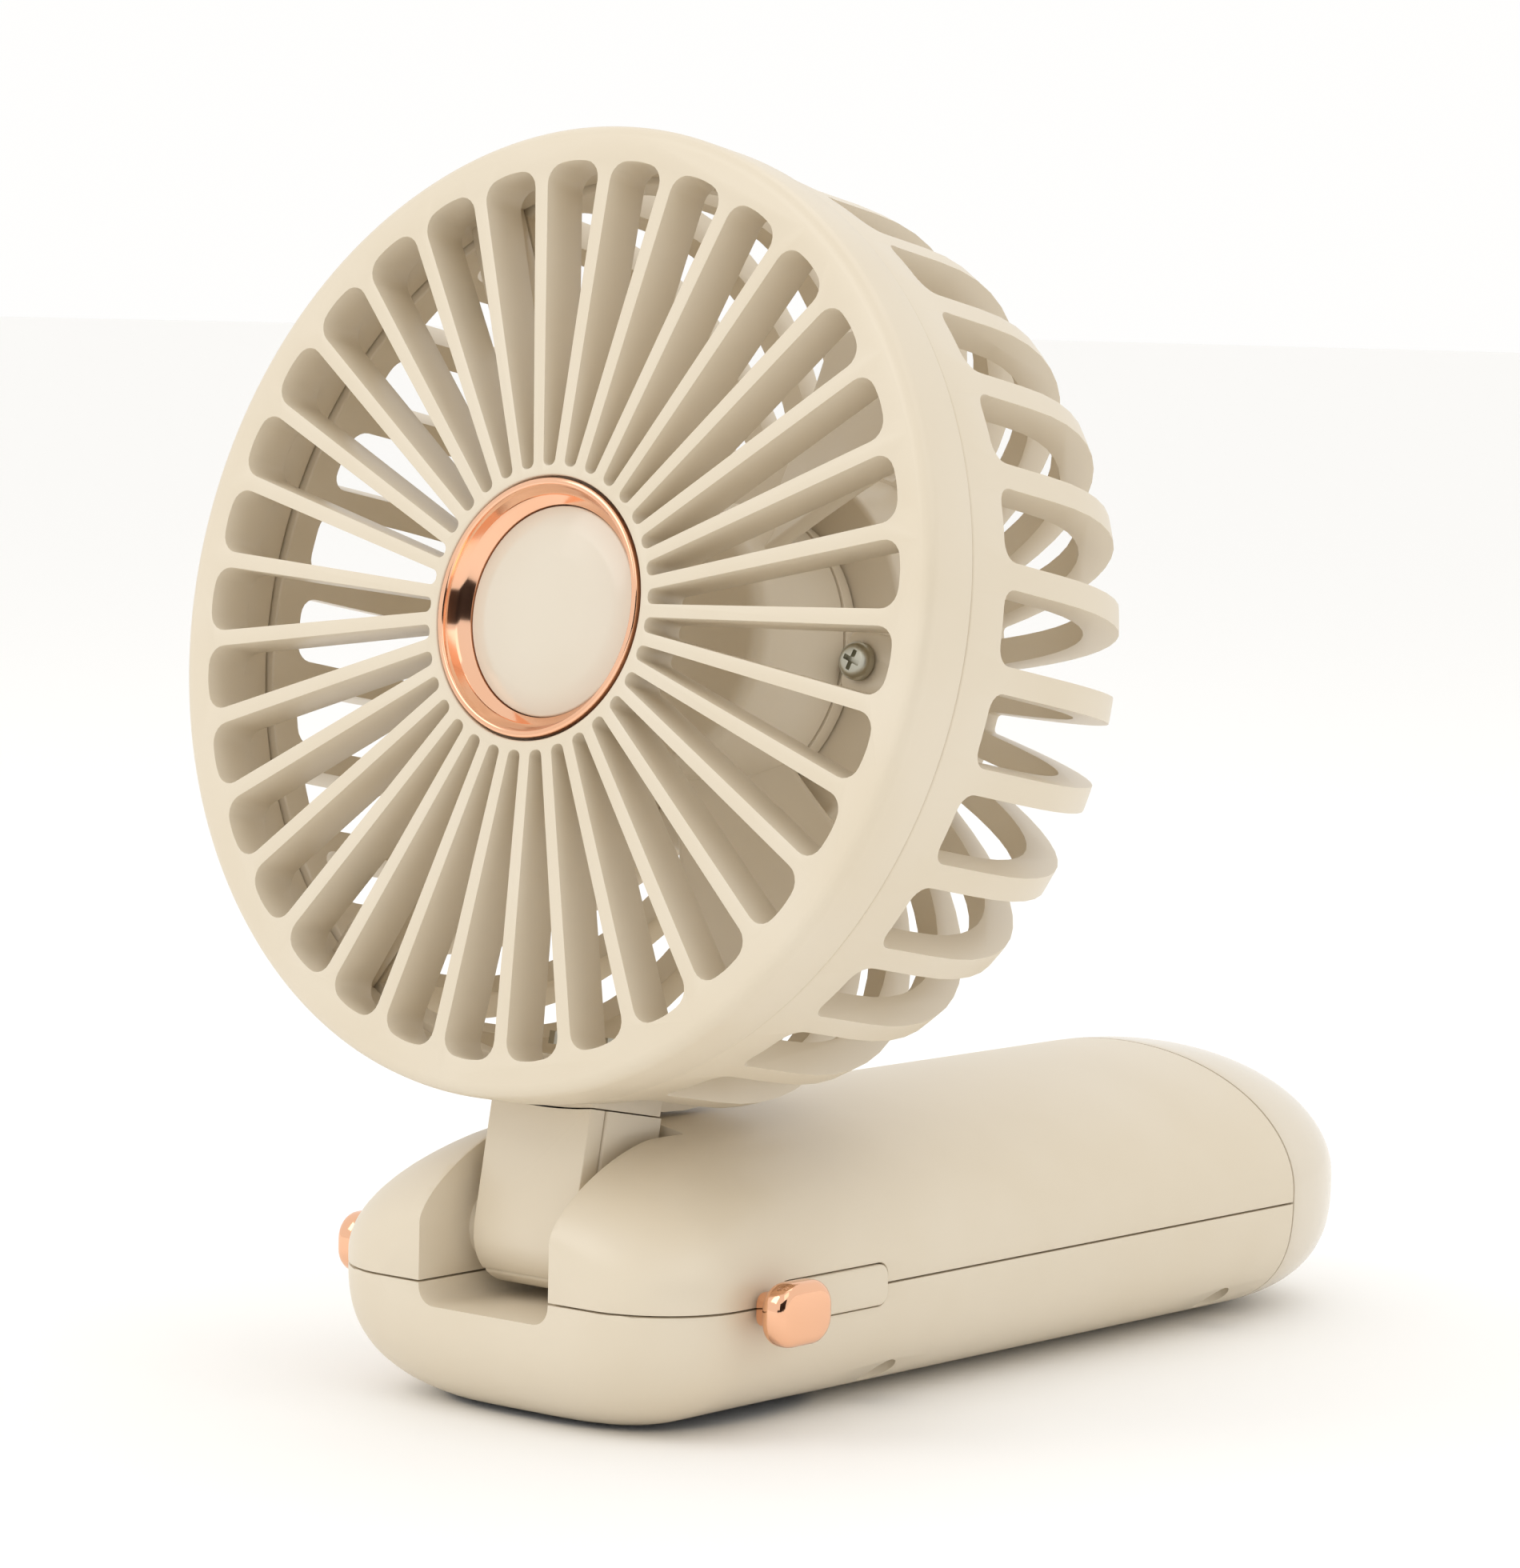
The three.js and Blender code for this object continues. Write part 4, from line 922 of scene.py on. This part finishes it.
opening = slab("opening", panel_line(0.25), "z", -2, 9.9)
combine(opening, handle_form("keep", WALL + 0.06))
combine(lower, opening)
for x, y in SCREWS:
    boss = slab("boss", oblong(3, 3, 2.99, x, y), "z", -1, SEAM - 0.5)
    combine(boss, handle_form("trim", 0.5), "INTERSECT")
    combine(lower, boss, "UNION")
    combine(lower, slab("seat", oblong(2.3, 2.3, 2.29, x, y), "z", -2, SCREW_SEAT))
    combine(lower, slab("bore", oblong(1.3, 1.3, 1.29, x, y), "z", 0, 20))
round_edges(upper, 0.3, 2, 50)
round_edges(lower, 0.3, 2, 50)
hand_over(upper, "handle_top_shell")
hand_over(lower, "handle_bottom_shell")

# %% [markdown]
# ## The end cap
# The rounded end is a moulding of its own with a polished face. It has an oblong hole for the
# charging socket.

# %% End cap
cap = handle_form("end_cap")
combine(cap, handle_form("cap_hollow", WALL))
slice_off(cap, (0, CAP_SEAM, 0), (0, -1, 0))
combine(cap, slab("socket_hole", oblong(4.8, 1.9, 1.89, 0, MIDDLE, 8), "y", REAR - 9, REAR + 2))
round_edges(cap, 0.3, 2, 50)
hand_over(cap, "end_cap")
socket = slab("usb_socket", oblong(4.5, 1.6, 1.59, 0, MIDDLE, 8), "y", REAR - 8.1, REAR - 0.8)
combine(socket, slab("mouth", oblong(4.1, 1.2, 1.19, 0, MIDDLE, 8), "y", REAR - 7, REAR + 1))
tongue = slab("tongue", oblong(3.3, 0.35, 0.1, 0, MIDDLE, 2), "y", REAR - 7.4, REAR - 2)
hand_over(round_edges(join(socket, [tongue]), 0.08, 2, 50), "usb_socket")

# %% [markdown]
# ## The underside panel and the key
# The panel is a smoked acrylic lens that follows the belly: its outline is pulled up through the
# form and only the skin between two sizes of the form is kept. The key is a short plated disc.

# %% Panel and key
panel = slab("display_lens", panel_line(0), "z", -2, 9)
combine(panel, handle_form("skin", 0.2), "INTERSECT")
combine(panel, handle_form("skin_inner", WALL + 0.3))
KEY_Y = FRONT + 37
combine(panel, slab("key_hole", oblong(4.8, 4.8, 4.79, 0, KEY_Y, 12), "z", -2, 12))
hand_over(round_edges(panel, 0.12, 2, 50), "display_lens")
key_line = [(0, 0.3, 0), (4.5, 0.3, 0.35), (4.5, 3.6, 0), (5.5, 3.6, 0), (5.5, 4.3, 0), (0, 4.3, 0)]
key = spun("power_button", key_line, 72)
hand_over(apply_place(key, Matrix.Translation(Vector((0, KEY_Y, 0)) * MM)), "power_button")

# %% [markdown]
# ## Side inserts and carry posts
# Each side has a flush strip let into the seam, and a plated post for a lanyard in front of it. The
# knob is an oval slab with a broad bevel round its edge, and the plating flashes along it.

# %% Inserts and posts
POST_Y = FRONT + 16
POST_FACE = 34.0
KNOB_THICK = 3.3
strip_line = oblong(INSERT_HALF, INSERT_TALL, 1.4, INSERT_Y, SEAM)
stem_line = oblong(2.1, 1.9, 1.2, POST_Y, SEAM)
knob_line = oblong(4.75, 3.6, 3.0, POST_Y, SEAM, 8)
for side, label in ((-1, "left"), (1, "right")):
    strip = slab("strip", strip_line, "x", side * 24.8, side * 28.0)
    hand_over(round_edges(strip, 0.3, 3, 50), f"side_insert_{label}")
    stem = slab("stem", stem_line, "x", side * 28.3, side * 31.2)
    knob = slab("knob", knob_line, "x", side * (POST_FACE - KNOB_THICK), side * POST_FACE)
    knob = round_edges(knob, 1.2, 5, 50)
    hand_over(join(knob, [stem]), f"carry_post_{label}")

# %% [markdown]
# ## Screws
# One pan-head screw is turned, its cross recess is cut, and it is copied to every place that a screw
# shows. Its shank is plain, because no thread is ever in view.

# %% Pan-head screws
def pan_screw(length):
    """Head down at the origin, shank up the Z axis."""
    head = [(0, 0, 0), (2.1, 0.05, 0.8), (2.1, SCREW_HEAD, 0.1), (1.0, SCREW_HEAD, 0)]
    screw = spun("screw", head + [(1.0, length, 0.3), (0, length, 0)], 48)
    for turn in (0, 90):
        slot_cut = slab("recess", oblong(1.15, 0.28, 0.1), "z", -1, 0.75)
        combine(screw, apply_place(slot_cut, Matrix.Rotation(math.radians(turn + 20), 4, "Z")))
    return screw


def drive(name, length, matrix):
    """Makes a screw and puts it in its hole."""
    hand_over(apply_place(pan_screw(length), matrix), name, 30)


for i, (x, y) in enumerate(SCREWS):
    top = SCREW_SEAT - 0.3 - SCREW_HEAD
    drive(f"shell_screw_{i + 1}", 22 - top, Matrix.Translation(Vector((x, y, top)) * MM))
INTO_HEAD = Matrix.Rotation(math.pi, 4, "X")
for i in range(3):
    angle = math.radians(SLOT_TURN + 120 * i)
    place = Vector((TAB_RING * math.cos(angle), TAB_RING * math.sin(angle), -5.8)) * MM
    drive(f"guard_screw_{i + 1}", 7.5, HEAD @ Matrix.Translation(place) @ INTO_HEAD)
    angle = math.radians(EAR_TURN + 120 * i)
    place = Vector((EAR_RING * math.cos(angle), EAR_RING * math.sin(angle), -32.4)) * MM
    drive(f"base_screw_{i + 1}", 7.0, HEAD @ Matrix.Translation(place) @ INTO_HEAD)

# %% [markdown]
# ## The hinge pin
# A plain steel pin runs across the notch. Its ends are hidden in the cheeks, and the short stretch
# beside the neck can be seen through the clearance.

# %% Hinge pin
pin = spun("hinge_pin", [(0, -13, 0), (2, -13, 0.3), (2, 13, 0.3), (0, 13, 0)], 48)
across = Matrix.Translation(PIVOT * MM) @ Matrix.Rotation(math.pi / 2, 4, "Y")
hand_over(apply_place(pin, across), "hinge_pin")

# %% [markdown]
# ## Floor, light and camera
# A pale seamless floor and three large soft lights, as in a small product studio. The lights are
# broad so that the satin plastic shades gently, and the plated trim has something long to mirror.

# %% Studio
clear()
bpy.ops.mesh.primitive_plane_add(size=30.0, location=(0, 0, -0.0002))
floor = bpy.context.object
floor.name = "studio_floor"
paper = material("seamless_paper_white", "FBFAF8", 0.7)
floor.data.materials.append(paper)

world = bpy.data.worlds.new("studio_air")
bpy.context.scene.world = world
world.use_nodes = True
world.node_tree.nodes["Background"].inputs["Color"].default_value = (1.0, 0.995, 0.985, 1)
world.node_tree.nodes["Background"].inputs["Strength"].default_value = 1.0


def softbox(name, place, aim, size, power):
    """A large soft area light; sizes are in metres and the power is in watts."""
    clear()
    bpy.ops.object.light_add(type="AREA", location=place)
    lamp = bpy.context.object
    lamp.name = name
    lamp.data.shape = "RECTANGLE"
    lamp.data.size, lamp.data.size_y = size
    lamp.data.energy = power
    lamp.rotation_euler = (Vector(aim) - Vector(place)).to_track_quat("-Z", "Y").to_euler()


def flag(name, place, aim, size):
    """A dark card for the plating to mirror; only reflections see it."""
    clear()
    bpy.ops.mesh.primitive_plane_add(size=1, location=place)
    card = bpy.context.object
    card.name = name
    card.scale = (size[0], size[1], 1)
    card.rotation_euler = (Vector(aim) - Vector(place)).to_track_quat("Z", "Y").to_euler()
    bpy.ops.object.transform_apply(location=True, rotation=True, scale=True)
    card.data.materials.append(card_brown)
    card.visible_camera = False
    card.visible_diffuse = False
    card.visible_shadow = False


AIM = (0, -0.02, 0.06)
card_brown = material("matt_card_dark_brown", "1E120C", 0.9)
flag("right_flag", (0.95, -0.45, 0.15), AIM, (1.1, 0.8))
flag("low_flag", (0.5, -0.95, 0.03), AIM, (0.5, 0.16))
softbox("key_softbox", (-0.35, -0.75, 0.75), AIM, (0.6, 0.6), 1.9)
softbox("fill_softbox", (0.75, -0.1, 0.75), AIM, (0.5, 0.5), 0.5)
softbox("top_softbox", (0.1, 0.3, 0.95), AIM, (0.8, 0.5), 1.0)

# %% Camera
CAMERA_AT = Vector((413.78, -524.99, 126.24)) * MM
RIGHT = Vector((0.76813, 0.63994, 0.02128))
UP = Vector((-0.07226, 0.05362, 0.99594))
FORWARD = Vector((-0.63620, 0.76655, -0.08743))
clear()
bpy.ops.object.camera_add(location=CAMERA_AT)
camera = bpy.context.object
turn = Matrix((RIGHT, UP, -FORWARD)).transposed().to_4x4()
camera.matrix_world = Matrix.Translation(CAMERA_AT) @ turn
camera.data.sensor_fit = "HORIZONTAL"
camera.data.sensor_width = 36.0
camera.data.lens = 131.24
camera.data.clip_start = 0.01
camera.data.clip_end = 20
bpy.context.scene.camera = camera
bpy.context.scene.view_settings.view_transform = "Standard"

# %% An import
import json
